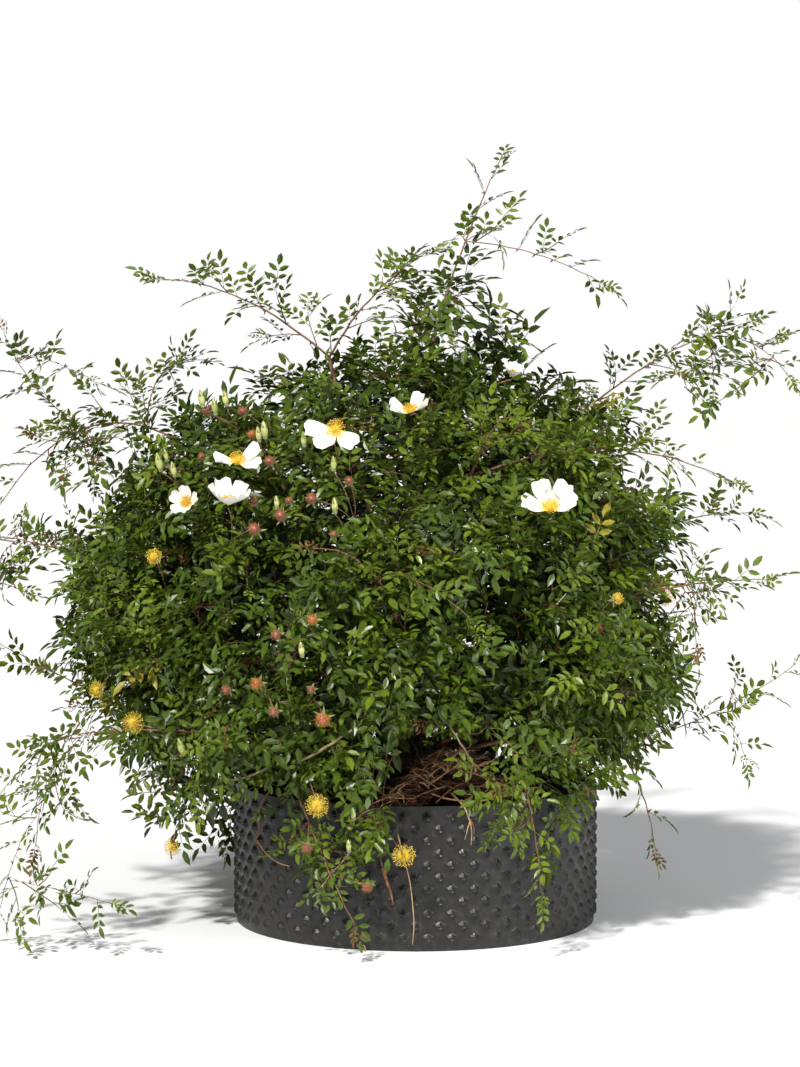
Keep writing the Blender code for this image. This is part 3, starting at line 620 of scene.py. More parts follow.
growth = random.Random(SEED)
masses = [Mass(tier, side, azimuth, growth) for tier in TIERS for side, azimuth in TIERS[tier][-1]]
cane_bark = bark_material(
    "cane bark", 150.0, (0.050, 0.024, 0.018), (0.140, 0.066, 0.044), (0.230, 0.150, 0.095))
prickle_turns = random.Random(SEED)
for mass in masses:
    path = smooth_path(mass.bough, CANE_STEPS)
    radii = taper(BOUGH_FOOT_RADIUS, BOUGH_TIP_RADIUS, len(path))
    walked = 0.0
    parts = []
    for k in range(1, len(path)):
        walked += (path[k] - path[k - 1]).length
        near_joint = max(0.0, math.cos(2 * math.pi * walked / CANE_JOINT)) ** JOINT_SHARPNESS
        radii[k] *= 1 + JOINT_SWELL * near_joint
        if k % PRICKLE_EVERY == 0:
            heading = (path[k] - path[k - 1]).normalized()
            outward = square_to(heading, prickle_turns.uniform(0, 2 * math.pi))
            parts.append(prickle(path[k] + outward * radii[k], heading, outward))
    cane_parts = [tube(path, radii, CANE_SIDES)] + parts
    cane = add_piece(f"cane_{mass.name}", *join_parts(cane_parts), [cane_bark], "canes")
    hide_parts(f"bough_{mass.name}")


# Twigs
# From each cane's tip the wood branches on into fine, zigzag, red-brown twigs by the source's rule: the
# long shoots first, then a twig to each seeded place in the mass's share of the dome, coarse ones first.

CROWN_MIDDLE = Vector((-0.050, 0.0, 0.42))
CROWN_RADIUS = 0.385
CROWN_ABOVE = 0.40
CROWN_BELOW = 0.45
TWIG_RADIUS = 0.0026
TWIG_TIP_RADIUS = 0.0005
TWIG_RISE = 0.008
TWIG_BOW = 0.16
TWIG_BENDS_AT = 0.45
TWIG_KEEPS_HEADING = 0.16
TWIG_STEPS = 4
TWIG_SIDES = 3
STEM_END_SIDES = 8
STEM_STEPS = 3
STEM_BEND = 0.010
STEM_PAST_CENTRE = 0.38
SHORTEST_TWIG = 0.012
LONGEST_TWIG = 0.150
MOST_TURNED_BACK = -0.25
BRANCH_SHARE = 0.66
POT_CLEARANCE = 0.005
FLOOR_CLEARANCE = 0.008
PLACE_CLEARANCE = 0.008
WOOD_CLEARANCE = 0.002
SIDE_TWIG_CLEARANCE = 0.004
REACH_PAST_SOURCE = 0.008
SHOOT_RADIUS = 0.0023
SHOOT_SIDES = 6
SHOOT_STEPS = 4
SHOOT_BOW = 0.03
SHOOT_ZIGZAG = 0.0007
TWIG_ZIGZAG = 0.0006
SIDE_TWIG_STEP = 0.015
SIDE_TWIGS_FROM = 0.06
SIDE_TWIGS_TO = 0.80
SIDE_TWIGS_STRAY = 0.3
SIDE_TWIGS_FEWER = 0.85
SIDE_TWIG_LONG = 0.088
SIDE_TWIG_SHORT = 0.016
SIDE_TWIG_SIZES = (0.45, 1.25)
SPARSE_SHORTER = 0.6
SIDE_TWIG_UP = 0.35
SIDE_TWIG_AHEAD = 0.60
SIDE_TWIG_ASIDE = 0.80
SIDE_TWIG_BOW = 0.14
SIDE_TWIG_RADIUS = 0.0010
TARGET_REACH = 0.26
# name: (dome shares from and to, spacing, tries a mass, twig's foot radius)
LAYERS = {
    "inner": (0.16, 0.58, 0.037, 1800, 0.0018),
    "middle": (0.58, 0.80, 0.032, 3500, 0.0014),
    "outer": (0.80, 0.97, 0.0215, 9000, 0.0010),
}
# Where the crown stands out past the dome: (side, height, how far up and down, how far out)
BULGES = (
    (-1, 0.45, 0.115, 0.165),
    (-1, 0.60, 0.050, 0.100),
    (1, 0.70, 0.055, 0.180),
    (1, 0.56, 0.060, 0.100),
    (1, 0.36, 0.110, 0.080),
)
TOP_SLIMMER = 0.06
LEFT_SLOPE = 0.12
RIGHT_SLOPE = 0.03
PEAK = (0.072, 0.0)
PEAK_WIDTH = 0.085
PEAK_FULLER = 0.60
LUMPS = 0.17
LUMP_SCALE = 8.0
# The crown thins out beside the pot, less so before and behind it, and at its own top: heights, and the
# share of the twigs that stay there
THIN_HEIGHTS = (0.10, 0.16, 0.25, 0.65, 0.75)
THIN_SHARES = (0.08, 0.32, 1.0, 1.0, 0.15)
THIN_LEAN = 0.16
THIN_FLATTER = 0.4
# (from x, to x, below which height): stretches before the pot, and beside it, that nothing hangs over.
# They reach back to one depth at the pot's front and to another at its sides.
BARE_STRETCHES = ((-0.250, -0.157, 0.205), (-0.035, 0.125, 0.278), (0.235, 0.600, 0.172))
BARE_FRONT_DEPTH = -0.12
BARE_SIDE_DEPTH = 0.05
FRONT_SHARE = 0.6
# To each mass: (tip, rise of the arch above the straight line, how full of side twigs)
SHOOTS = {
    "top_right": (
        ((0.121, -0.010, 1.047), 0.000, 0.20), ((0.258, 0.020, 0.866), -0.010, 0.50),
    ),
    "top_left": (
        ((0.024, -0.020, 0.915), 0.000, 0.60), ((-0.356, 0.030, 0.875), 0.015, 0.60),
        ((-0.030, 0.140, 0.850), 0.000, 0.30),
    ),
    "upper_left": (
        ((-0.600, 0.020, 0.520), 0.150, 0.60), ((-0.560, 0.000, 0.805), -0.020, 0.20),
        ((-0.499, -0.060, 0.775), -0.010, 0.30), ((-0.430, -0.050, 0.735), 0.000, 0.40),
        ((-0.470, -0.080, 0.612), 0.000, 1.70), ((-0.445, -0.040, 0.655), 0.000, 1.50),
        ((-0.300, 0.230, 0.760), 0.040, 0.60),
    ),
    "upper_right": (
        ((0.454, -0.020, 0.816), 0.020, 0.32), ((0.513, 0.020, 0.736), 0.030, 0.45),
        ((0.400, -0.050, 0.715), 0.020, 1.00), ((0.330, -0.100, 0.745), 0.015, 0.80),
        ((0.415, 0.090, 0.700), 0.020, 0.60),
    ),
    "upper_front_right": (
        ((0.432, -0.060, 0.600), 0.030, 1.50), ((0.120, -0.385, 0.700), 0.020, 0.50),
    ),
    "upper_back": (
        ((0.120, 0.420, 0.770), 0.040, 0.70), ((-0.120, 0.480, 0.660), 0.060, 0.70),
    ),
    "middle_front_left": (
        ((-0.592, -0.060, 0.530), 0.020, 1.30), ((-0.573, -0.110, 0.440), 0.015, 1.20),
        ((-0.520, -0.100, 0.455), 0.015, 1.30),
    ),
    "middle_back_left": (
        ((-0.520, 0.240, 0.500), 0.030, 0.80),
    ),
    "middle_front": (
        ((-0.130, -0.430, 0.540), 0.030, 0.50), ((0.070, -0.440, 0.450), 0.030, 0.50),
    ),
    "middle_front_right": (
        ((0.467, -0.100, 0.473), 0.000, 0.40), ((0.375, -0.070, 0.410), 0.000, 2.00),
    ),
    "middle_back_right": (
        ((0.490, 0.230, 0.540), 0.030, 0.80),
    ),
    "middle_back": (
        ((0.060, 0.540, 0.500), 0.040, 0.80),
    ),
    "low_left": (
        ((-0.567, 0.010, 0.375), 0.010, 0.50), ((-0.440, -0.100, 0.270), 0.020, 0.90),
        ((-0.585, -0.060, 0.150), 0.040, 0.15),
    ),
    "low_front_left": (
        ((-0.490, -0.200, 0.270), 0.020, 0.50), ((-0.500, -0.200, 0.125), 0.030, 0.80),
        ((-0.545, -0.230, 0.045), 0.050, 0.35), ((-0.385, -0.290, 0.070), 0.030, 0.60),
        ((-0.075, -0.320, 0.040), 0.020, 2.40), ((-0.240, -0.410, 0.300), 0.030, 0.60),
    ),
    "low_front_right": (
        ((0.160, -0.315, 0.085), 0.030, 2.40),
    ),
    "low_right": (
        ((0.325, -0.080, 0.100), 0.010, 0.15), ((0.521, -0.020, 0.354), 0.010, 0.50),
        ((0.446, -0.070, 0.225), 0.010, 0.20),
    ),
    "low_back_right": (
        ((0.330, 0.380, 0.260), 0.030, 0.70),
    ),
    "low_back": (
        ((-0.020, 0.450, 0.180), 0.040, 0.80),
    ),
    "low_back_left": (
        ((-0.400, 0.330, 0.200), 0.030, 0.70),
    ),
}


def add_wood(mass, points, radii, sides, pointed=True):
    """A piece of wood on a mass: more can spring from each of its points but the first."""
    mass.wood.append((points, radii, sides, pointed))
    last = len(points) - 1 if pointed else len(points)
    for k in range(1, last):
        mass.nodes.append((*points[k], *(points[k] - points[k - 1]).normalized(), radii[k]))


def nearest_node(mass, target):
    """The wood that a twig toward a target springs from: the nearest that doesn't point back."""
    nodes = np.array(mass.nodes)
    span = np.array(target) - nodes[:, :3]
    length = np.linalg.norm(span, axis=1)
    ahead = (span * nodes[:, 3:6]).sum(axis=1) > MOST_TURNED_BACK * length
    length[~ahead | (length < SHORTEST_TWIG)] = math.inf
    node = mass.nodes[int(length.argmin())] if np.isfinite(length).any() else mass.nodes[0]
    return Vector(node[:3]), Vector(node[3:6]), node[6]


def grow(mass, target, rise, bow, steps, radius, rng):
    """Points and radii of a twig that arches from the nearest wood to its target."""
    start, heading, wood = nearest_node(mass, target)
    span = target - start
    sideways = span.cross(Vector((0.01, 0.0, 1.0))).normalized()
    control = start.lerp(target, TWIG_BENDS_AT) + heading * span.length * TWIG_KEEPS_HEADING
    control += Vector((0, 0, rise)) + sideways * span.length * bow * rng.uniform(-1, 1)
    points = arc(start, control, target, steps)
    return points, taper(min(radius, wood * BRANCH_SHARE), TWIG_TIP_RADIUS, len(points))


def array(points):
    return np.array([tuple(point) for point in points])


def clear_of_pot(points, margin=0.0):
    """For each point, whether it is clear of the pot and of what that stands on."""
    beside = np.hypot(points[..., 0], points[..., 1]) > POT_RADIUS + POT_CLEARANCE + margin
    above = points[..., 2] > POT_HEIGHT + POT_CLEARANCE + margin
    return (beside | above) & (points[..., 2] > FLOOR_CLEARANCE + margin)


def within_reach(points):
    """For each point, whether it lies in the source's own reach."""
    low = np.array(cad_box[0]) - REACH_PAST_SOURCE
    high = np.array(cad_box[1]) + REACH_PAST_SOURCE
    return ((points > low) & (points < high)).all(axis=-1)


centres = array([mass.centre for mass in masses])


def in_own_space(mass, points, slack=0.012):
    """For each point, whether it lies in the space nearest to its own mass's centre, or almost."""
    away = np.linalg.norm(points[..., None, :] - centres, axis=-1)
    return away[..., masses.index(mass)] <= away.min(axis=-1) + slack


def crown_share(points):
    """How far out in the dome points lie: 0 at its middle and 1 at its surface."""
    off = points - np.array(CROWN_MIDDLE)
    rise = off[..., 2] / np.where(off[..., 2] > 0, CROWN_ABOVE, CROWN_BELOW)
    return np.sqrt((off[..., 0] / CROWN_RADIUS) ** 2 + (off[..., 1] / CROWN_RADIUS) ** 2 + rise ** 2)


def bare(points):
    """For each point, whether it is in a stretch at the pot's front or side that stays bare."""
    found = np.zeros(points.shape[:-1], dtype=bool)
    for low, high, top in BARE_STRETCHES:
        found |= (points[..., 0] > low) & (points[..., 0] < high) & (points[..., 2] < top)
    at_front = np.abs(points[..., 0]) < POT_RADIUS * FRONT_SHARE
    return found & (points[..., 1] < np.where(at_front, BARE_FRONT_DEPTH, BARE_SIDE_DEPTH))


def crown_limit(places, outside):
    """How far out in the dome twigs may end at each place: a slim top with a peak, side bulges, lumps."""
    off = places - np.array(CROWN_MIDDLE)
    left = np.clip(-off[:, 0] / CROWN_RADIUS, 0, 1)
    right = np.clip(off[:, 0] / CROWN_RADIUS, 0, 1)
    rise = np.clip(off[:, 2] / CROWN_ABOVE, 0, 1)
    limit = outside - rise * (LEFT_SLOPE * left + RIGHT_SLOPE * right)
    for side, height, band, fuller in BULGES:
        limit += fuller * (right if side > 0 else left) * np.exp(-((places[:, 2] - height) / band) ** 2)
    from_peak = np.hypot(places[:, 0] - PEAK[0], places[:, 1] - PEAK[1]) / PEAK_WIDTH
    limit += rise * (PEAK_FULLER * np.exp(-from_peak ** 2) - TOP_SLIMMER)
    return limit + LUMPS * np.array([noise.noise(Vector(place) * LUMP_SCALE) for place in places])


def thinned_out(places, rng):
    """For each place, whether a seeded draw leaves it empty, beside the pot or high in the crown."""
    high = places[:, 2] > CROWN_MIDDLE.z
    level = places[:, 2] + np.where(high, 0, THIN_LEAN) * places[:, 0]
    drawn = rng.random(len(places)) > np.interp(level, THIN_HEIGHTS, THIN_SHARES)
    beside = np.hypot(places[:, 0], THIN_FLATTER * places[:, 1]) > POT_RADIUS
    return drawn & (beside | high)


def places_in(mass, layer, rng):
    """Seeded places for a layer's twigs in a mass's share of the dome, the nearest to its bough first."""
    inside, outside, spacing, tries, _ = LAYERS[layer]
    places = np.array(mass.centre) + (rng.random((tries, 3)) * 2 - 1) * TARGET_REACH
    share = crown_share(places)
    kept = (share > inside) & (share < crown_limit(places, outside)) & clear_of_pot(places, PLACE_CLEARANCE)
    kept &= in_own_space(mass, places, 0.0) & within_reach(places)
    kept &= ~bare(places) & ~thinned_out(places, rng)
    chosen = np.zeros((0, 3))
    for place in places[kept]:
        if len(chosen) == 0 or np.linalg.norm(chosen - place, axis=1).min() > spacing:
            chosen = np.vstack([chosen, place])
    away = np.linalg.norm(chosen - np.array(mass.bough[-1]), axis=1)
    return [Vector(place) for place in chosen[np.argsort(away)]]


def zigzag(points, rng, swing):
    """A twig's path with a small turn at each leaf joint."""
    bent = [points[0]]
    for k in range(1, len(points) - 1):
        heading = (points[k + 1] - points[k - 1]).normalized()
        aside = heading.cross(random_way(rng)).normalized()
        bent.append(points[k] + aside * swing * (1 if k % 2 else -1))
    return bent + [points[-1]]


def start_mass(mass):
    """The mass's own stem, face to face with its bough's tip."""
    start = mass.bough[-1] + mass.heading * FIT_GAP
    square_end = start + mass.heading * BOUGH_TIP_RADIUS
    end = mass.centre + mass.heading * mass.half_width * STEM_PAST_CENTRE
    control = start.lerp(end, 0.5) + mass.heading * STEM_BEND
    points = [start] + arc(square_end, control, end, STEM_STEPS)
    add_wood(mass, points, taper(BOUGH_TIP_RADIUS, TWIG_RADIUS, len(points)), STEM_END_SIDES, pointed=False)


def side_twig(path, index, share, fullness, rng):
    """A short twig from a shoot's path at an index, leaning ahead and a little up, shorter near its tip."""
    start = path[index]
    heading = (path[index + 1] - path[index - 1]).normalized()
    aside = heading.cross(random_way(rng)).normalized()
    aside = (aside + Vector((0, 0, SIDE_TWIG_UP))).normalized()
    reach = SIDE_TWIG_LONG + (SIDE_TWIG_SHORT - SIDE_TWIG_LONG) * share
    reach *= rng.uniform(*SIDE_TWIG_SIZES) * min(1.0, SPARSE_SHORTER + (1 - SPARSE_SHORTER) * fullness)
    end = start + (heading * SIDE_TWIG_AHEAD + aside * SIDE_TWIG_ASIDE).normalized() * reach
    return arc(start, start.lerp(end, 0.5) + heading * reach * SIDE_TWIG_BOW, end, 3)


for mass in masses:
    start_mass(mass)
for mass in masses:
    for tip, rise, fullness in SHOOTS.get(mass.name, ()):
        points, radii = grow(mass, Vector(tip), rise, SHOOT_BOW, SHOOT_STEPS, SHOOT_RADIUS, growth)
        add_wood(mass, points, radii, SHOOT_SIDES)
        mass.shoots.append((points, fullness))

for mass in masses:
    for number, (points, fullness) in enumerate(mass.shoots):
        side_rng = random.Random(f"{mass.name} {number} {SEED}")
        fine = smooth_path(points, 6)
        span = SIDE_TWIGS_TO - SIDE_TWIGS_FROM
        count = round(path_length(points) * span / SIDE_TWIG_STEP * fullness)
        for k in range(count):
            stray = side_rng.uniform(-SIDE_TWIGS_STRAY, SIDE_TWIGS_STRAY)
            share = SIDE_TWIGS_FROM + span * (k + stray) / count
            if side_rng.random() < SIDE_TWIGS_FEWER * share:
                continue
            index = min(max(1, round((len(fine) - 1) * share)), len(fine) - 2)
            twig = side_twig(fine, index, share, fullness, side_rng)
            if clear_of_pot(array(twig), SIDE_TWIG_CLEARANCE).all() and within_reach(array(twig)).all():
                mass.side_twigs.append((twig, share))
                mass.wood.append((twig, taper(SIDE_TWIG_RADIUS, TWIG_TIP_RADIUS, 4), TWIG_SIDES, True))

for number, mass in enumerate(masses):
    rng = random.Random(SEED + number)
    place_rng = np.random.default_rng(SEED + number)
    for layer in LAYERS:
        for target in places_in(mass, layer, place_rng):
            points, radii = grow(mass, target, TWIG_RISE, TWIG_BOW, TWIG_STEPS, LAYERS[layer][-1], rng)
            near = (target - points[0]).length < LONGEST_TWIG
            if near and clear_of_pot(array(points), WOOD_CLEARANCE).all():
                add_wood(mass, points, radii, TWIG_SIDES)
                mass.sprays.append((points, layer))

twig_bark = bark_material(
    "twig bark", 260.0, (0.075, 0.034, 0.023), (0.190, 0.086, 0.050), (0.320, 0.185, 0.105))


# Leaves
# Small glossy compound leaves of two or three pairs of pointed leaflets and a larger one at the end,
# turning round every twig. A leaflet is a folded sheet of six faces; greens are dealt out by spray.

# (step along the twig, share of the twig that they start at, size)
OUTER_LEAVES = (0.0145, 0.22, 1.0)
SIDE_LEAVES = (0.0165, 0.20, 0.95)
INNER_LEAVES = (0.020, 0.25, 1.5)
SHOOT_LEAVES = (0.024, 0.25, 0.88)
SIDE_LEAVES_SMALLER = 0.22
LEAVES_END = 0.995
# The end leaflet's tip, counted from the last vertex of a leaf's shape
LEAF_TIP = -5
LEAFLET_LENGTH = 0.0180
LEAFLET_HALF_WIDTH = 0.215
LEAFLET_FOLD = 0.07
# A leaflet's midrib as (along, lift), and one of its edges as (along, share of half width, share of fold)
LEAFLET_RIB = ((0.0, 0.0), (0.52, -0.02), (1.0, -0.07))
LEAFLET_EDGE = ((0.30, 0.92, 1.0), (0.68, 0.86, 0.6))
LEAFLET_SIZES = (0.78, 0.95, 1.0)
LEAFLET_ANGLE = 64
LEAFLET_ANGLE_STEP = 6
LEAFLET_ANGLE_VARIES = 9
END_LEAFLET = 1.16
FIRST_PAIR = 0.0110
PAIR_STEP = 0.0118
PAIR_STRAY = 0.0008
END_STALK = 0.0085
RACHIS_RADIUS = 0.00045
RACHIS_SAG = 0.0008
PAIRS_OF_SHAPES = (2, 2, 3, 2, 2, 1, 2, 3, 2, 2)
LEAF_TURN = 2.4
LEAF_TURN_VARIES = 0.4
LEAF_SIZES = (0.78, 1.14)
LEAF_DROOP = (0.5, 7.0)
# How far a leaf points along its twig, aside from it, out of the crown, up and at random
LEAF_POINTS = (0.5, 0.75, 0.38, 0.08, 0.25)
END_LEAF_STRAYS = 0.3
# How far its upper side faces up, out of the crown and at random
LEAF_FACES = (0.75, 0.75, 0.55)
YOUNG_LEAVES = 3
YOUNG_LEAF_STEP = 0.006
YOUNG_LEAF_SIZES = (0.36, 0.58)
YOUNG_LEAF_STRAYS = 0.55
YOUNG_SIDE_TIPS = 0.35
YOUNG_SPRAY_TIPS = 0.10
LEAF_SPACE_SLACK = 0.020
LEAF_DARKER = 0.80
LEAF_PALER = 1.22
GREENS = (
    # The first and darkest green is painted shade: only the leaves of the crown's inner and middle layers
    # take it.
    (0.022, 0.038, 0.005),
    (0.036, 0.062, 0.006),
    (0.055, 0.092, 0.007),
    (0.084, 0.130, 0.009),
    (0.118, 0.165, 0.012),
    (0.150, 0.078, 0.028),
    (0.240, 0.200, 0.022),
)
OUTER_GREENS = (1, 1, 2, 2, 2, 3, 3, 4)
SHOOT_GREENS = (2, 2, 3, 3, 4)
# Painted shade: the inner and middle layers' leaves take the darkest greens, so the crown's hollow middle
# looks dark.
INNER_PAINTED_SHADE_GREENS = (0, 0, 0, 1)
YOUNG_GREENS = (4, 4, 5)
OLD_GREEN = 6
OLD_LEAVES = 0.005


def leaflet(root, heading, upward, length):
    """A folded pointed leaflet of six faces in its own outline."""
    out = heading.normalized()
    across = upward.cross(out).normalized()
    over = out.cross(across)

    def place(along, aside, lift):
        return root + (out * along + across * aside + over * lift) * length

    vertices = [place(along, 0, lift) for along, lift in LEAFLET_RIB]
    for half in (LEAFLET_HALF_WIDTH, -LEAFLET_HALF_WIDTH):
        vertices += [place(along, half * wide, LEAFLET_FOLD * lift) for along, wide, lift in LEAFLET_EDGE]
    return vertices, [[0, 1, 3], [1, 4, 3], [1, 2, 4], [0, 5, 1], [1, 5, 6], [1, 6, 2]]


def compound_leaf(pairs, rng):
    """A leaf along +X in the XY plane, its upper side toward +Z."""
    end = FIRST_PAIR + PAIR_STEP * (pairs - 1) + END_STALK
    stalk = [Vector((0, 0, 0)), Vector((end * 0.5, 0, -RACHIS_SAG)), Vector((end, 0, 0))]
    parts = [tube(stalk, [RACHIS_RADIUS * 1.3, RACHIS_RADIUS, RACHIS_RADIUS * 0.5], 3, pointed=True)]
    for pair in range(pairs):
        size = LEAFLET_LENGTH * LEAFLET_SIZES[pair + 3 - pairs] * rng.uniform(0.90, 1.08)
        for hand in (1, -1):
            varies = rng.uniform(-LEAFLET_ANGLE_VARIES, LEAFLET_ANGLE_VARIES)
            turn = math.radians(LEAFLET_ANGLE - LEAFLET_ANGLE_STEP * pair + varies)
            heading = Vector((math.cos(turn), hand * math.sin(turn), rng.uniform(-0.10, 0.30)))
            upward = Vector((rng.uniform(-0.3, 0.3), rng.uniform(-0.35, 0.35), 1.0))
            along = FIRST_PAIR + PAIR_STEP * pair + rng.uniform(-PAIR_STRAY, PAIR_STRAY)
            parts.append(leaflet(Vector((along, hand * PAIR_STRAY, 0)), heading, upward, size))
    heading = Vector((1, rng.uniform(-0.15, 0.15), rng.uniform(-0.15, 0.10)))
    upward = Vector((0, rng.uniform(-0.3, 0.3), 1))
    size = LEAFLET_LENGTH * END_LEAFLET * rng.uniform(0.92, 1.08)
    parts.append(leaflet(Vector((end, 0, 0)), heading, upward, size))
    vertices, faces = join_parts(parts)
    thirds = [[face[0], face[k], face[k + 1]] for face in faces for k in range(1, len(face) - 1)]
    return array(vertices), np.array(thirds)


leaf_shapes = [compound_leaf(pairs, random.Random(SEED + k)) for k, pairs in enumerate(PAIRS_OF_SHAPES)]


def leaves_along(mass, points, kind, green, rng, smaller=0.0):
    """Seeded leaves that turn round a twig: root, heading, upward normal, size, green, shape and droop."""
    step, from_share, size = kind
    along, sideways, outside, upward, strays = LEAF_POINTS
    facing_up, facing_out, facing_strays = LEAF_FACES
    count = max(1, round(path_length(points) * (1 - from_share) / step))
    spin = rng.uniform(0, 2 * math.pi)
    for k in range(count + 1):
        share = from_share + (LEAVES_END - from_share) * k / count
        place = share * (len(points) - 1)
        segment = min(int(place), len(points) - 2)
        root = points[segment].lerp(points[segment + 1], place - segment)
        heading = (points[segment + 1] - points[segment]).normalized()
        outward = (root - CROWN_MIDDLE).normalized()
        spin += LEAF_TURN + rng.uniform(-LEAF_TURN_VARIES, LEAF_TURN_VARIES)
        turn = random_way(rng)
        if k == count:
            pointing = heading + turn * END_LEAF_STRAYS
        else:
            pointing = heading * along + square_to(heading, spin) * sideways + outward * outside
            pointing += Vector((0, 0, upward))
            pointing += turn * strays
        normal = Vector((0, 0, facing_up)) + outward * facing_out + turn.cross(heading) * facing_strays
        shape = rng.randrange(len(leaf_shapes))
        grown = (size - smaller) * rng.uniform(*LEAF_SIZES)
        droop = rng.uniform(*LEAF_DROOP)
        mass.leaves.append((*root, *pointing.normalized(), *normal, grown, green, shape, droop))


def young_tip(mass, points, rng):
    """A tuft of small folded leaves, yellow-green or bronze, at the end of a growing shoot."""
    heading = (points[-1] - points[-2]).normalized()
    green = rng.choice(YOUNG_GREENS)
    for k in range(YOUNG_LEAVES):
        turn = random_way(rng)
        pointing = (heading + turn * YOUNG_LEAF_STRAYS).normalized()
        root = points[-1] - heading * YOUNG_LEAF_STEP * k
        size = rng.uniform(*YOUNG_LEAF_SIZES)
        mass.leaves.append((*root, *pointing, *turn, size, green, rng.randrange(len(leaf_shapes)), 0.0))


def leaf_mesh(mass, free):
    """Vertices, faces and each face's green for all of a mass's leaves. Free ones may leave its space."""
    table = np.array(mass.leaves)
    roots, along, up = table[:, 0:3], table[:, 3:6], table[:, 6:9]
    sizes, green_of, shape_of, droop = table[:, 9:].T
    across = np.cross(up, along)
    across /= np.linalg.norm(across, axis=1)[:, None]
    over = np.cross(along, across)
    vertices = []
    faces = []
    greens = []
    first = 0
    for number, (shape, shape_faces) in enumerate(leaf_shapes):
        rows = np.nonzero(shape_of == number)[0]
        local = shape[None] * sizes[rows, None, None]
        fall = local[..., 2] - droop[rows, None] * local[..., 0] ** 2
        placed = roots[rows, None] + local[..., 0:1] * along[rows, None]
        placed += local[..., 1:2] * across[rows, None]
        placed += fall[..., None] * over[rows, None]
        kept = clear_of_pot(placed).all(axis=1) & within_reach(placed).all(axis=1)
        end = placed[:, LEAF_TIP]
        kept &= (in_own_space(mass, end, LEAF_SPACE_SLACK) & ~bare(end)) | free[rows]
        placed = placed[kept]
        count = len(placed)
        vertices.append(placed.reshape(-1, 3))
        starts = first + np.arange(count) * len(shape)
        faces.append((shape_faces[None] + starts[:, None, None]).reshape(-1, 3))
        greens.append(np.repeat(green_of[rows[kept]].astype(int), len(shape_faces)))
        first += count * len(shape)
    return np.vstack(vertices).tolist(), np.vstack(faces).tolist(), np.concatenate(greens).tolist()


def leaf_material(name, colour):
    """Glossy leaf skin with a fine mottle of its own green."""
    darker = [part * LEAF_DARKER for part in colour]
    paler = [part * LEAF_PALER for part in colour]
    look = toned_material(name, colour, 0.33, ((0.3, darker), (0.5, colour), (0.75, paler)), 120.0, 2.0)
    look.node_tree.nodes["Principled BSDF"].inputs["Specular IOR Level"].default_value = 0.32
    return look


greens_in_use = [leaf_material(f"leaf green {k + 1}", colour) for k, colour in enumerate(GREENS)]
leaf_rng = random.Random(SEED + 5)
for mass in masses:
    for points, _ in mass.shoots:
        leaves_along(mass, points, SHOOT_LEAVES, leaf_rng.choice(SHOOT_GREENS), leaf_rng)
        young_tip(mass, points, leaf_rng)
    for points, share in mass.side_twigs:
        green = leaf_rng.choice(SHOOT_GREENS)
        leaves_along(mass, points, SIDE_LEAVES, green, leaf_rng, SIDE_LEAVES_SMALLER * share)
        if leaf_rng.random() < YOUNG_SIDE_TIPS:
            young_tip(mass, points, leaf_rng)
    free_leaves = len(mass.leaves)
    for points, layer in mass.sprays:
        if layer != "outer":
            # Painted shade: leaves of the inner and middle layers get the darkest greens.
            leaves_along(mass, points, INNER_LEAVES, leaf_rng.choice(INNER_PAINTED_SHADE_GREENS), leaf_rng)
            continue
        green = leaf_rng.choice(OUTER_GREENS)
        if leaf_rng.random() < OLD_LEAVES:
            green = OLD_GREEN
        leaves_along(mass, points, OUTER_LEAVES, green, leaf_rng)
        if leaf_rng.random() < YOUNG_SPRAY_TIPS:
            young_tip(mass, points, leaf_rng)
    vertices, faces, greens = leaf_mesh(mass, np.arange(len(mass.leaves)) < free_leaves)
    leaves = add_piece(
        f"leaves_{mass.name}", vertices, faces, greens_in_use, "foliage", greens, smooth=False)
    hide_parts(f"foliage_{mass.name}")
    # Shoots and the mass's own stem are rounded off and carry prickles
    parts = []
    for points, radii, sides, pointed in mass.wood:
        if sides > TWIG_SIDES:
            finer = smooth_path(points, 4)
            radii = np.interp(np.linspace(0, 1, len(finer)), np.linspace(0, 1, len(radii)), radii).tolist()
            points = zigzag(finer, leaf_rng, SHOOT_ZIGZAG) if pointed else finer
            for k in range(2, len(finer) - 3, 2):
                heading = (finer[k + 1] - finer[k]).normalized()
                outward = heading.cross(random_way(leaf_rng)).normalized()
                parts.append(prickle(finer[k] + outward * radii[k], heading, outward))
        else:
            points = zigzag(points, leaf_rng, TWIG_ZIGZAG)
        parts.append(tube(points, radii, sides, pointed))
    twigs = add_piece(f"twigs_{mass.name}", *join_parts(parts), [twig_bark], "canes")
    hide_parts(f"foliage_{mass.name}")


# Flowers
# Single white roses, 7 to 8 cm wide: up to five broad petals with a shallow notch, a little crinkled, round
# a golden boss of stamens. Petals and stamens are two joined pieces; each flower stands on its own stalk.

FLOWER_RADIUS = 0.040
STALK_RADIUS = 0.0016
STALK_RISE = 0.006
STALK_BOW = 0.05
PETAL_STEPS = 7
PETAL_TILT_VARIES = 9
PETAL_LIFT = 0.0006
PETAL_BUMP = (0.2, 0.001)
STAMENS = 150
STAMEN_LENGTH = 0.0132
STAMEN_SPREAD = 76
STAMEN_SIZES = (0.75, 1.1)
STAMEN_FOOT_OUT = 0.0008
ANTHER_RADIUS = 0.0007
# Where a fan of stamens or spikes goes on from one to the next, it turns by the golden angle
GOLDEN_TURN = 2.39996
LOOK_OF_STAMEN = [0] * 3 + [1] * 8
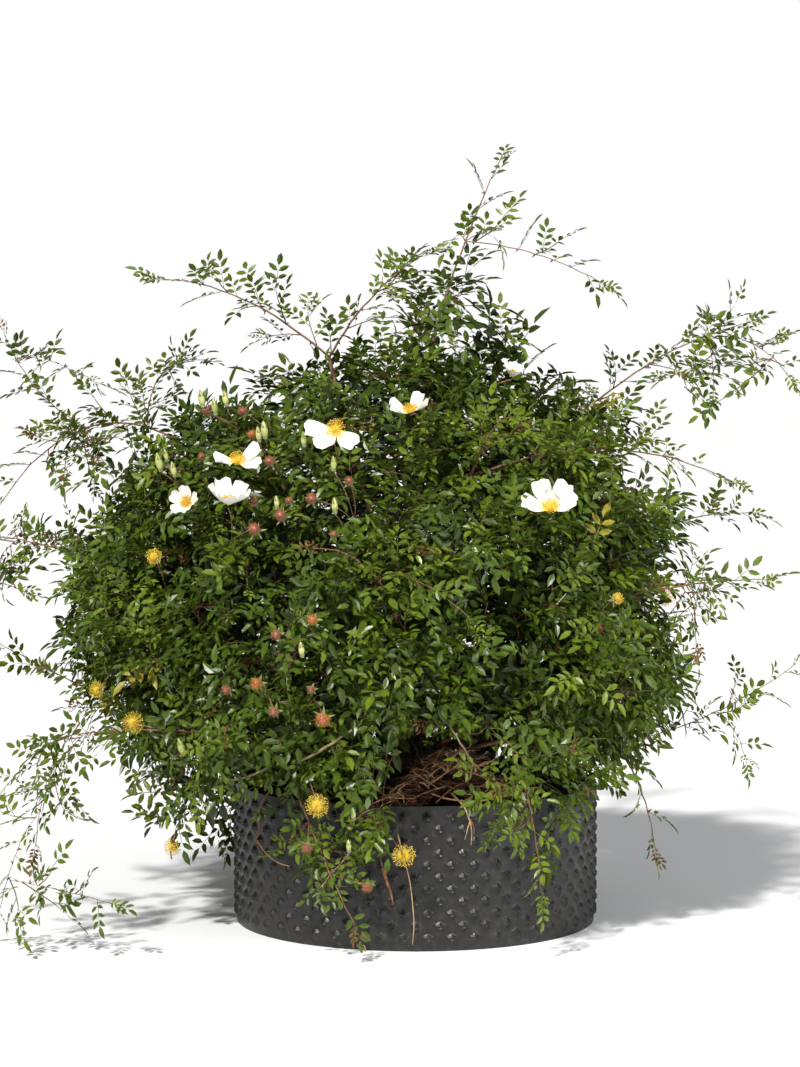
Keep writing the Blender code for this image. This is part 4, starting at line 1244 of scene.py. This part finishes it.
# (centre, azimuth and elevation it looks to, size, how far its petals close, their angles), in degrees
FLOWERS = (
    ((-0.102, -0.322, 0.681), -10, 34, 1.00, 5, (188, 246, 316)),
    ((0.168, -0.327, 0.582), 5, 42, 1.00, 16, (178, 112, 46, 350)),
    ((-0.290, -0.309, 0.588), -22, 20, 0.62, 30, (160, 232, 300, 15, 88)),
    ((-0.237, -0.342, 0.588), 12, 66, 0.90, 26, (180, 252, 324, 36, 108)),
    ((-0.227, -0.305, 0.641), -5, 46, 0.85, 10, (28, 335, 206)),
    ((-0.008, -0.305, 0.703), -10, 60, 0.75, 24, (176, 225, 350, 60)),
    ((0.125, -0.180, 0.745), 20, 60, 0.50, 45, (10, 82, 154, 226, 298)),
    ((0.290, 0.215, 0.520), 125, 25, 0.95, 10, (20, 92, 164, 236, 308)),
    ((0.200, 0.300, 0.550), 150, 30, 1.00, 12, (60, 132, 204, 276)),
    ((-0.060, 0.340, 0.660), 190, 45, 0.90, 20, (0, 72, 144, 216, 288)),
    ((-0.360, 0.235, 0.570), 235, 30, 1.00, 8, (40, 112, 184, 256, 328)),
    ((0.050, 0.410, 0.400), 175, 15, 0.90, 25, (10, 82, 154, 298)),
)


def stalk_to(end, rng):
    """A stalk from the nearest wood of any mass."""
    mass = min(masses, key=lambda mass: (nearest_node(mass, end)[0] - end).length)
    points, radii = grow(mass, end, STALK_RISE, STALK_BOW, 4, STALK_RADIUS, rng)
    radii[-1] = STALK_RADIUS * 0.7
    return tube(smooth_path(points, 2), taper(radii[0], radii[-1], 2 * len(points) - 1), 5)


def petal(centre, facing, turn, radius, closing, rng):
    """One crinkled petal on a grid: narrow at its claw, broad and cut off at its end."""
    across = Vector((0, 0, 1)).cross(facing).normalized()
    out = math.cos(turn) * across + math.sin(turn) * facing.cross(across)
    side = facing.cross(out)
    lean = math.radians(closing + rng.uniform(-PETAL_TILT_VARIES, PETAL_TILT_VARIES))
    phase = rng.uniform(0, 6)
    vertices = []
    for row in range(PETAL_STEPS):
        u = row / (PETAL_STEPS - 1)
        for column in range(PETAL_STEPS):
            v = 2 * column / (PETAL_STEPS - 1) - 1
            # Half its width; its length, notched and with rounded corners; its cup, crinkles and raised edges
            half = 0.08 + 0.25 * math.sin(min(1.0, u * 1.06) * math.pi * 0.60) ** 1.2
            reach = 0.06 + u * (0.94 - 0.06 * math.exp(-(v / 0.30) ** 2) * u ** 3 - 0.16 * v ** 4 * u)
            lift = 0.16 * u ** 2 + 0.045 * math.sin(v * 4.2 + phase) * u ** 2 + 0.16 * v * v * u
            place = out * (reach * math.cos(lean) - lift * math.sin(lean))
            place += facing * (reach * math.sin(lean) + lift * math.cos(lean)) + side * half * v
            vertices.append(centre + place * radius)
    faces = []
    for row in range(PETAL_STEPS - 1):
        for column in range(PETAL_STEPS - 1):
            low = row * PETAL_STEPS + column
            faces.append([low, low + PETAL_STEPS, low + PETAL_STEPS + 1, low + 1])
    return vertices, faces


def stamen(root, heading, length):
    """A fine filament of three faces with a small anther of eight at its end."""
    across = heading.orthogonal().normalized()
    over = heading.cross(across)
    foot = ring(root, across, over, ANTHER_RADIUS * 0.45, 3)
    tip = root + heading * length
    head = [tip + across * ANTHER_RADIUS, tip + over * ANTHER_RADIUS, tip - across * ANTHER_RADIUS,
            tip - over * ANTHER_RADIUS, tip + heading * ANTHER_RADIUS, tip - heading * ANTHER_RADIUS * 1.6]
    faces = [[0, 1, 3], [1, 2, 3], [2, 0, 3]]
    faces += [[4 + k, 4 + (k + 1) % 4, 8] for k in range(4)]
    faces += [[4 + (k + 1) % 4, 4 + k, 9] for k in range(4)]
    return foot + [tip] + head, faces


def stamen_boss(centre, facing, count, length, spread, rng):
    """Seeded stamens that fan out round the way the flower faces, up to an angle of spread degrees."""
    parts = []
    for k in range(count):
        tilt = math.radians(spread) * math.sqrt((k + 0.5) / count)
        out = square_to(facing, k * GOLDEN_TURN + rng.uniform(-0.2, 0.2))
        heading = (math.cos(tilt) * facing + math.sin(tilt) * out).normalized()
        parts.append(stamen(centre + out * STAMEN_FOOT_OUT, heading, length * rng.uniform(*STAMEN_SIZES)))
    return parts


def mottled_material(name, roughness, scale, low, high, bump=None):
    """A material whose colour goes from low to high with a noise of the given scale."""
    return toned_material(name, low, roughness, ((0.35, low), (0.65, high)), scale, bump=bump)


petal_looks = [
    mottled_material("white petal", 0.55, 55.0, (0.70, 0.70, 0.64), (0.78, 0.78, 0.75), PETAL_BUMP),
    mottled_material("yellow petal foot", 0.55, 120.0, (0.84, 0.68, 0.14), (0.88, 0.78, 0.30), PETAL_BUMP),
    mottled_material("cream petal", 0.55, 90.0, (0.82, 0.77, 0.46), (0.88, 0.86, 0.66), PETAL_BUMP),
]
filament_look = mottled_material("yellow filament", 0.6, 300.0, (0.86, 0.56, 0.035), (0.92, 0.70, 0.080))
anther_look = mottled_material("golden anther", 0.6, 300.0, (0.68, 0.34, 0.018), (0.88, 0.58, 0.045))

bloom_rng = random.Random(SEED + 7)
petal_parts = []
stamen_parts = []
stalk_parts = []
for centre, azimuth, elevation, size, closing, turns in FLOWERS:
    place = Vector(centre)
    facing = direction(azimuth, elevation)
    stalk_parts.append(stalk_to(place - facing * 0.004, bloom_rng))
    for k, turn in enumerate(turns):
        foot = place + facing * PETAL_LIFT * (k % 3)
        petal_parts.append(petal(foot, facing, math.radians(turn), FLOWER_RADIUS * size, closing, bloom_rng))
    length = STAMEN_LENGTH * (0.4 + 0.6 * size)
    stamen_parts += stamen_boss(place, facing, STAMENS, length, STAMEN_SPREAD - closing, bloom_rng)
# From its foot outward, a petal is yellow for one row of faces and cream for the next, then white.
row = PETAL_STEPS - 1
look_of_petal = [1] * row + [2] * row + [0] * row * (row - 2)
add_piece("white_petals", *join_parts(petal_parts), petal_looks, "foliage",
          look_of_petal * len(petal_parts))
add_piece("stamens", *join_parts(stamen_parts), [filament_look, anther_look], "foliage",
          LOOK_OF_STAMEN * len(stamen_parts))


# Spent flowers and buds
# Where petals have dropped, a ball of golden stamens stays on its stalk. Older ones are fuzzy heads, brown
# or gold with a red middle. Buds are long and greenish white in a green cup.

BALL_STAMENS = 230
BALL_RADIUS = 0.0138
BALL_SPREAD = 128
HEAD_RADIUS = 0.0080
HEAD_SPIKES = 150
SPIKES_FROM = 30
SPIKES_TO = 128
SPIKE_LENGTH = 1.08
SPIKE_RADIUS = 0.0008
SPIKE_STRAYS = 0.14
SEPALS = 5
SEPAL_HALF_FOOT = 0.001
SEPAL_HALF_WIDTH = 0.0022
# (length, tilt in radians): a ball's sepals in metres, a head's by its radius, a bud's by its length
BALL_SEPALS = (0.013, 2.1)
HEAD_SEPALS = (1.6, 1.9)
BUD_SEPALS = (0.95, 0.26)
BUD_LENGTH = 0.021
# Turned shapes: (distance from the foot, radius), as shares of the size, and the cup's in metres
HEAD_PROFILE = (
    (-0.5, 0.18), (-0.36, 0.42), (-0.08, 0.52), (0.14, 0.48), (0.30, 0.36), (0.36, 0.22), (0.40, 0.05))
BUD_PROFILE = ((0.0, 0.10), (0.12, 0.17), (0.3, 0.21), (0.5, 0.20), (0.7, 0.14), (0.88, 0.07), (1.0, 0.015))
CUP_PROFILE = ((0, 0.0012), (0.002, 0.003), (0.005, 0.003))
# (place, size)
STAMEN_BALLS = (
    ((-0.126, -0.340, 0.206), 1.00), ((-0.366, -0.249, 0.300), 1.00), ((-0.335, -0.287, 0.519), 0.70),
    ((-0.419, -0.177, 0.334), 0.75), ((0.258, -0.276, 0.464), 0.50), ((0.360, 0.220, 0.420), 0.90),
    ((-0.180, 0.370, 0.420), 1.00), ((-0.016, -0.315, 0.138), 1.00), ((-0.323, -0.155, 0.122), 0.80),
)
# (place, size, look): most are brown, and the latest still gold
SPENT_HEADS = (
    ((-0.271, -0.216, 0.703), 1.0, 0), ((-0.204, -0.357, 0.559), 1.1, 0), ((-0.171, -0.363, 0.577), 1.1, 0),
    ((-0.132, -0.365, 0.598), 1.0, 0), ((-0.176, -0.391, 0.429), 0.9, 0), ((-0.130, -0.403, 0.449), 1.0, 1),
    ((-0.201, -0.380, 0.366), 1.1, 1), ((-0.132, -0.400, 0.361), 0.7, 0), ((-0.179, -0.384, 0.331), 0.9, 0),
    ((-0.085, -0.362, 0.620), 0.8, 0), ((-0.118, -0.397, 0.323), 1.3, 1), ((0.234, -0.298, 0.429), 0.9, 0),
    ((-0.240, -0.361, 0.356), 0.9, 0), ((-0.140, -0.320, 0.148), 1.0, 0), ((-0.063, -0.310, 0.095), 1.0, 0),
    ((0.150, 0.350, 0.600), 1.0, 0), ((-0.250, 0.320, 0.520), 1.1, 1), ((0.290, 0.240, 0.480), 0.9, 0),
    ((0.060, 0.400, 0.520), 1.0, 0), ((-0.100, 0.400, 0.300), 1.0, 0), ((0.350, 0.100, 0.500), 0.9, 1),
    ((0.220, 0.350, 0.330), 1.0, 0), ((-0.430, 0.130, 0.430), 1.0, 0), ((-0.340, 0.150, 0.650), 0.9, 0),
    ((-0.223, -0.250, 0.703), 0.9, 0), ((-0.209, -0.290, 0.675), 0.9, 1), ((-0.186, -0.330, 0.643), 1.0, 0),
    ((-0.206, -0.340, 0.593), 0.8, 0), ((-0.160, -0.360, 0.595), 0.6, 0), ((-0.275, -0.270, 0.646), 0.7, 0),
    ((-0.104, -0.385, 0.554), 0.6, 0),
)
BUDS = (
    (-0.104, -0.355, 0.634), (-0.322, -0.226, 0.639), (-0.330, -0.229, 0.627), (-0.310, -0.255, 0.621),
    (-0.192, -0.303, 0.672), (-0.245, -0.230, 0.711), (-0.298, -0.301, 0.268), (-0.143, -0.401, 0.405),
    (-0.086, -0.322, 0.146), (-0.080, -0.340, 0.190), (0.280, 0.250, 0.560), (-0.200, 0.320, 0.610),
    (0.100, 0.370, 0.580), (-0.420, 0.060, 0.560), (-0.276, -0.220, 0.709), (-0.259, -0.220, 0.699),
    (-0.200, -0.290, 0.667), (-0.175, -0.355, 0.586), (-0.102, -0.380, 0.582), (-0.142, -0.320, 0.663),
)

head_looks = [
    mottled_material("spent brown", 0.8, 260.0, (0.170, 0.064, 0.029), (0.350, 0.158, 0.072)),
    mottled_material("spent gold", 0.8, 260.0, (0.270, 0.095, 0.018), (0.500, 0.220, 0.036)),
]
core_look = mottled_material("spent red", 0.30, 420.0, (0.260, 0.060, 0.040), (0.420, 0.130, 0.085))
ball_look = mottled_material("lemon anther", 0.6, 300.0, (0.680, 0.430, 0.035), (0.840, 0.620, 0.075))
bud_look = mottled_material("bud green", 0.5, 80.0, (0.280, 0.350, 0.080), (0.620, 0.580, 0.240))
cup_look = mottled_material("cup green", 0.6, 200.0, (0.120, 0.180, 0.055), (0.260, 0.320, 0.140))


def turned(foot, heading, profile, size, sides):
    """A turned body of a size along a heading, from (distance, radius) pairs."""
    points = [foot + heading * (size * distance) for distance, _ in profile]
    return tube(points, [size * radius for _, radius in profile], sides)


def out_of_crown(place, lift):
    """The way from the crown's middle to a place, and a little up."""
    return (place - CROWN_MIDDLE + Vector((0, 0, lift))).normalized()


def sepals(foot, heading, size, kind, rng):
    """Narrow pointed sepals that stand round a flower's foot."""
    length = size * kind[0]
    tilt = kind[1]
    parts = []
    for k in range(SEPALS):
        out = square_to(heading, 2 * math.pi * k / SEPALS + rng.uniform(-0.2, 0.2))
        side = heading.cross(out)
        tip = foot + (out * math.sin(tilt) + heading * math.cos(tilt)) * length
        broad = foot + (out * math.sin(tilt * 1.25) + heading * math.cos(tilt * 1.25)) * length * 0.4
        narrow = side * SEPAL_HALF_FOOT
        wide = side * SEPAL_HALF_WIDTH
        vertices = [foot - narrow, foot + narrow, broad + wide, broad - wide, tip]
        parts.append((vertices, [[0, 1, 2, 3], [3, 2, 4]]))
    return parts


def spikes(centre, facing, length, rng):
    """The dry filaments of a spent head, which start round its middle and lean well back."""
    parts = []
    for k in range(HEAD_SPIKES):
        share = math.sqrt((k + 0.5) / HEAD_SPIKES)
        tilt = math.radians(SPIKES_FROM + (SPIKES_TO - SPIKES_FROM) * share)
        out = square_to(facing, k * GOLDEN_TURN)
        heading = (math.cos(tilt) * facing + math.sin(tilt) * out).normalized()
        across = heading.orthogonal()
        over = heading.cross(across).normalized()
        foot = ring(centre + heading * length * 0.35, across.normalized(), over, SPIKE_RADIUS, 3)
        strays = Vector([rng.uniform(-SPIKE_STRAYS, SPIKE_STRAYS) for _ in range(3)])
        tip = centre + (heading + strays) * length * rng.uniform(0.8, 1.1)
        parts.append((foot + [tip], [[0, 1, 3], [1, 2, 3], [2, 0, 3]]))
    return parts


old_rng = random.Random(SEED + 8)
ball_parts, core_parts, spike_parts, bud_parts, cup_parts = [], [], [], [], []
for centre, size in STAMEN_BALLS:
    place = Vector(centre)
    facing = out_of_crown(place, 0.1)
    stalk_parts.append(stalk_to(place - facing * 0.003, old_rng))
    count = round(BALL_STAMENS * size)
    ball_parts += stamen_boss(place, facing, count, BALL_RADIUS * size, BALL_SPREAD, old_rng)
    cup_parts += sepals(place - facing * 0.003, facing, 1.0, BALL_SEPALS, old_rng)
spike_looks = []
for centre, size, look in SPENT_HEADS:
    place = Vector(centre)
    facing = out_of_crown(place, 0.05)
    stalk_parts.append(stalk_to(place - facing * 0.005, old_rng))
    radius = HEAD_RADIUS * size * old_rng.uniform(0.95, 1.08)
    core_parts.append(turned(place, facing, HEAD_PROFILE, radius, 12))
    spike_parts += spikes(place, facing, radius * SPIKE_LENGTH, old_rng)
    spike_looks += [look] * 3 * HEAD_SPIKES
    cup_parts += sepals(place - facing * radius * 0.5, facing, radius, HEAD_SEPALS, old_rng)
for centre in BUDS:
    place = Vector(centre)
    heading = (Vector((0, 0, 1)) + (place - CROWN_MIDDLE).normalized() * 0.4).normalized()
    stalk_parts.append(stalk_to(place - heading * 0.004, old_rng))
    length = BUD_LENGTH * old_rng.uniform(0.7, 1.1)
    bud_parts.append(turned(place, heading, BUD_PROFILE, length, 10))
    cup_parts += sepals(place, heading, length, BUD_SEPALS, old_rng)
    cup_parts.append(turned(place - heading * 0.004, heading, CUP_PROFILE, 1.0, 8))
add_piece("stamen_balls", *join_parts(ball_parts), [filament_look, ball_look], "foliage",
          LOOK_OF_STAMEN * len(ball_parts))
add_piece("spent_cores", *join_parts(core_parts), [core_look], "foliage")
add_piece("spent_heads", *join_parts(spike_parts), head_looks, "foliage", spike_looks)
add_piece("buds", *join_parts(bud_parts), [bud_look], "foliage")
add_piece("sepals", *join_parts(cup_parts), [cup_look], "foliage", smooth=False)
add_piece("flower_stalks", *join_parts(stalk_parts), [twig_bark], "canes")


# Litter
# Straw, dead leaves and broken twigs lie heaped on the soil behind the rim's front. A few dead stalks and
# roots hang out over the rim and down the sheet, and dead canes lie across the crown's front.

STRAWS = 1050
DEAD_LEAVES = 170
HEAP_AZIMUTH = 14.0
HEAP_WIDTH = 21.0
HEAP_HEIGHT = 0.086
HEAP_FROM = 0.08
HEAP_SLOPE = 0.11
STRAW_LENGTHS = (0.014, 0.055)
STRAW_THICKNESSES = (0.0005, 0.0007, 0.0009, 0.0014)
STRAW_BELOW_SOIL = 0.012
STRAW_OFF_WALL = 0.003
STRAW_OVER_RIM = 0.002
STRAWS_LOOK = (0, 0, 1, 1, 2)
DEAD_LEAF_LENGTHS = (0.010, 0.020)
DEAD_LEAVES_LOOK = (0, 0, 1, 2)
DEAD_CANE_ZIGZAG = 0.0008
DEAD_CANE_LOOK = 3
# name: colour
STRAW_LOOKS = {
    "red straw": (0.240, 0.092, 0.038),
    "pale straw": (0.500, 0.310, 0.155),
    "grey straw": (0.075, 0.044, 0.029),
    "dead cane": (0.210, 0.165, 0.080),
}
# (radii at both ends, look, (x, z, how far out of the wall), ...): each hangs down the pot's front
HANGING = (
    (0.0014, 0.0016, 2, ((-0.040, 0.262, -0.010), (-0.056, 0.238, 0.010), (-0.056, 0.182, 0.008),
                         (-0.049, 0.133, 0.007), (-0.042, 0.108, 0.007))),
    (0.0030, 0.0006, 0, ((-0.043, 0.112, 0.008), (-0.039, 0.096, 0.008), (-0.033, 0.080, 0.009),
                         (-0.030, 0.064, 0.008))),
    (0.0010, 0.0005, 1, ((-0.024, 0.157, 0.012), (-0.016, 0.124, 0.009), (-0.008, 0.092, 0.008),
                         (-0.003, 0.042, 0.008), (-0.005, 0.012, 0.008))),
    (0.0017, 0.0010, 1, ((0.046, 0.206, -0.014), (0.056, 0.197, -0.001), (0.063, 0.189, 0.006),
                         (0.070, 0.170, 0.007))),
    (0.0010, 0.0004, 1, ((0.070, 0.172, 0.007), (0.066, 0.160, 0.008), (0.063, 0.148, 0.009))),
    (0.0009, 0.0004, 1, ((0.070, 0.171, 0.007), (0.072, 0.156, 0.008), (0.071, 0.140, 0.008))),
    (0.0009, 0.0004, 0, ((0.070, 0.174, 0.007), (0.075, 0.162, 0.008), (0.074, 0.150, 0.009))),
    (0.0013, 0.0008, 1, ((0.020, 0.205, -0.020), (0.045, 0.198, -0.012), (0.085, 0.1955, -0.006),
                         (0.110, 0.202, -0.010), (0.147, 0.212, -0.022))),
    (0.0012, 0.0007, 0, ((-0.190, 0.200, -0.006), (-0.205, 0.180, 0.006), (-0.208, 0.150, 0.007),
                         (-0.212, 0.128, 0.007), (-0.200, 0.112, 0.007))),
    (0.0009, 0.0005, 1, ((-0.211, 0.130, 0.007), (-0.196, 0.114, 0.008), (-0.180, 0.106, 0.008),
                         (-0.166, 0.104, 0.008))),
)
# (radii at both ends, places): old canes without leaves that lie across the crown's front
DEAD_CANES = (
    (0.0022, 0.0014, ((-0.158, -0.262, 0.250), (-0.144, -0.318, 0.262), (-0.106, -0.334, 0.286),
                      (-0.066, -0.322, 0.313), (-0.052, -0.280, 0.322))),
    (0.0018, 0.0012, ((-0.250, -0.220, 0.226), (-0.234, -0.284, 0.232), (-0.198, -0.312, 0.246),
                      (-0.180, -0.270, 0.256))),
    (0.0014, 0.0009, ((0.030, -0.262, 0.330), (0.036, -0.312, 0.316), (0.056, -0.328, 0.284),
                      (0.070, -0.312, 0.259), (0.088, -0.270, 0.238))),
)


def beside_wall(x, z, out):
    """A place at the pot's front, so far out of the wall or in from it."""
    return Vector((x, -math.sqrt((POT_RADIUS + out) ** 2 - x * x), z))


def heap_height(azimuth, reach):
    """How high the heap stands at a place on the soil."""
    across = math.exp(-((azimuth - HEAP_AZIMUTH) / HEAP_WIDTH) ** 2)
    return HEAP_HEIGHT * across * min(1.0, (reach - HEAP_FROM) / HEAP_SLOPE)


def lies_in_pot(straw):
    """Whether a straw neither sinks into the soil nor runs through the sheet."""
    if any(point.z < SOIL_TOP - STRAW_BELOW_SOIL for point in straw):
        return False
    below_rim = [point for point in straw if point.z < POT_HEIGHT + STRAW_OVER_RIM]
    return all(point.xy.length <= WALL_INSIDE - STRAW_OFF_WALL for point in below_rim)


litter_rng = random.Random(SEED + 9)
straw_parts = []
straw_looks = []


def lay(part, look):
    """Adds a part to the litter, all of its faces in one of the looks."""
    straw_parts.append(part)
    straw_looks.extend([look] * len(part[1]))


while len(straw_parts) < STRAWS:
    azimuth = litter_rng.gauss(HEAP_AZIMUTH, HEAP_WIDTH)
    reach = litter_rng.uniform(0.10, WALL_INSIDE)
    height = SOIL_TOP - 0.004 + heap_height(azimuth, reach) * litter_rng.random() ** 0.4
    middle = direction(azimuth) * reach + Vector((0, 0, height))
    heading = direction(litter_rng.uniform(0, 360), litter_rng.uniform(-36, 36))
    length = litter_rng.uniform(*STRAW_LENGTHS)
    sag = Vector((0, 0, -length * litter_rng.uniform(-0.05, 0.30)))
    straw = arc(middle - heading * length / 2, middle - sag, middle + heading * length / 2, 4)
    if lies_in_pot(straw):
        thick = litter_rng.choice(STRAW_THICKNESSES)
        lay(tube(straw, taper(thick, thick * 0.6, 5), 3), litter_rng.choice(STRAWS_LOOK))
for _ in range(DEAD_LEAVES):
    azimuth = litter_rng.gauss(HEAP_AZIMUTH, HEAP_WIDTH)
    reach = litter_rng.uniform(0.12, WALL_INSIDE - 0.020)
    height = SOIL_TOP + 0.004 + heap_height(azimuth, reach) * litter_rng.uniform(0.5, 1.0)
    root = direction(azimuth) * reach + Vector((0, 0, height))
    heading = direction(litter_rng.uniform(0, 360), litter_rng.uniform(-20, 35))
    upward = Vector((litter_rng.uniform(-0.7, 0.7), litter_rng.uniform(-0.7, 0.7), 1.0))
    dead_leaf = leaflet(root, heading, upward, litter_rng.uniform(*DEAD_LEAF_LENGTHS))
    lay(dead_leaf, litter_rng.choice(DEAD_LEAVES_LOOK))
for first, last, look, places in HANGING:
    path = smooth_path([beside_wall(*place) for place in places], 4)
    lay(tube(path, taper(first, last, len(path)), 5), look)
for first, last, places in DEAD_CANES:
    path = smooth_path([Vector(place) for place in places], 4)
    cane = zigzag(path, litter_rng, DEAD_CANE_ZIGZAG)
    lay(tube(cane, taper(first, last, len(path)), 6), DEAD_CANE_LOOK)
litter_looks = []
for name, colour in STRAW_LOOKS.items():
    stops = ((0.3, [part * 0.6 for part in colour]), (0.7, [part * 1.3 for part in colour]))
    litter_looks.append(toned_material(name, colour, 0.85, stops, 180.0))
add_piece("litter", *join_parts(straw_parts), litter_looks, "soil", straw_looks)
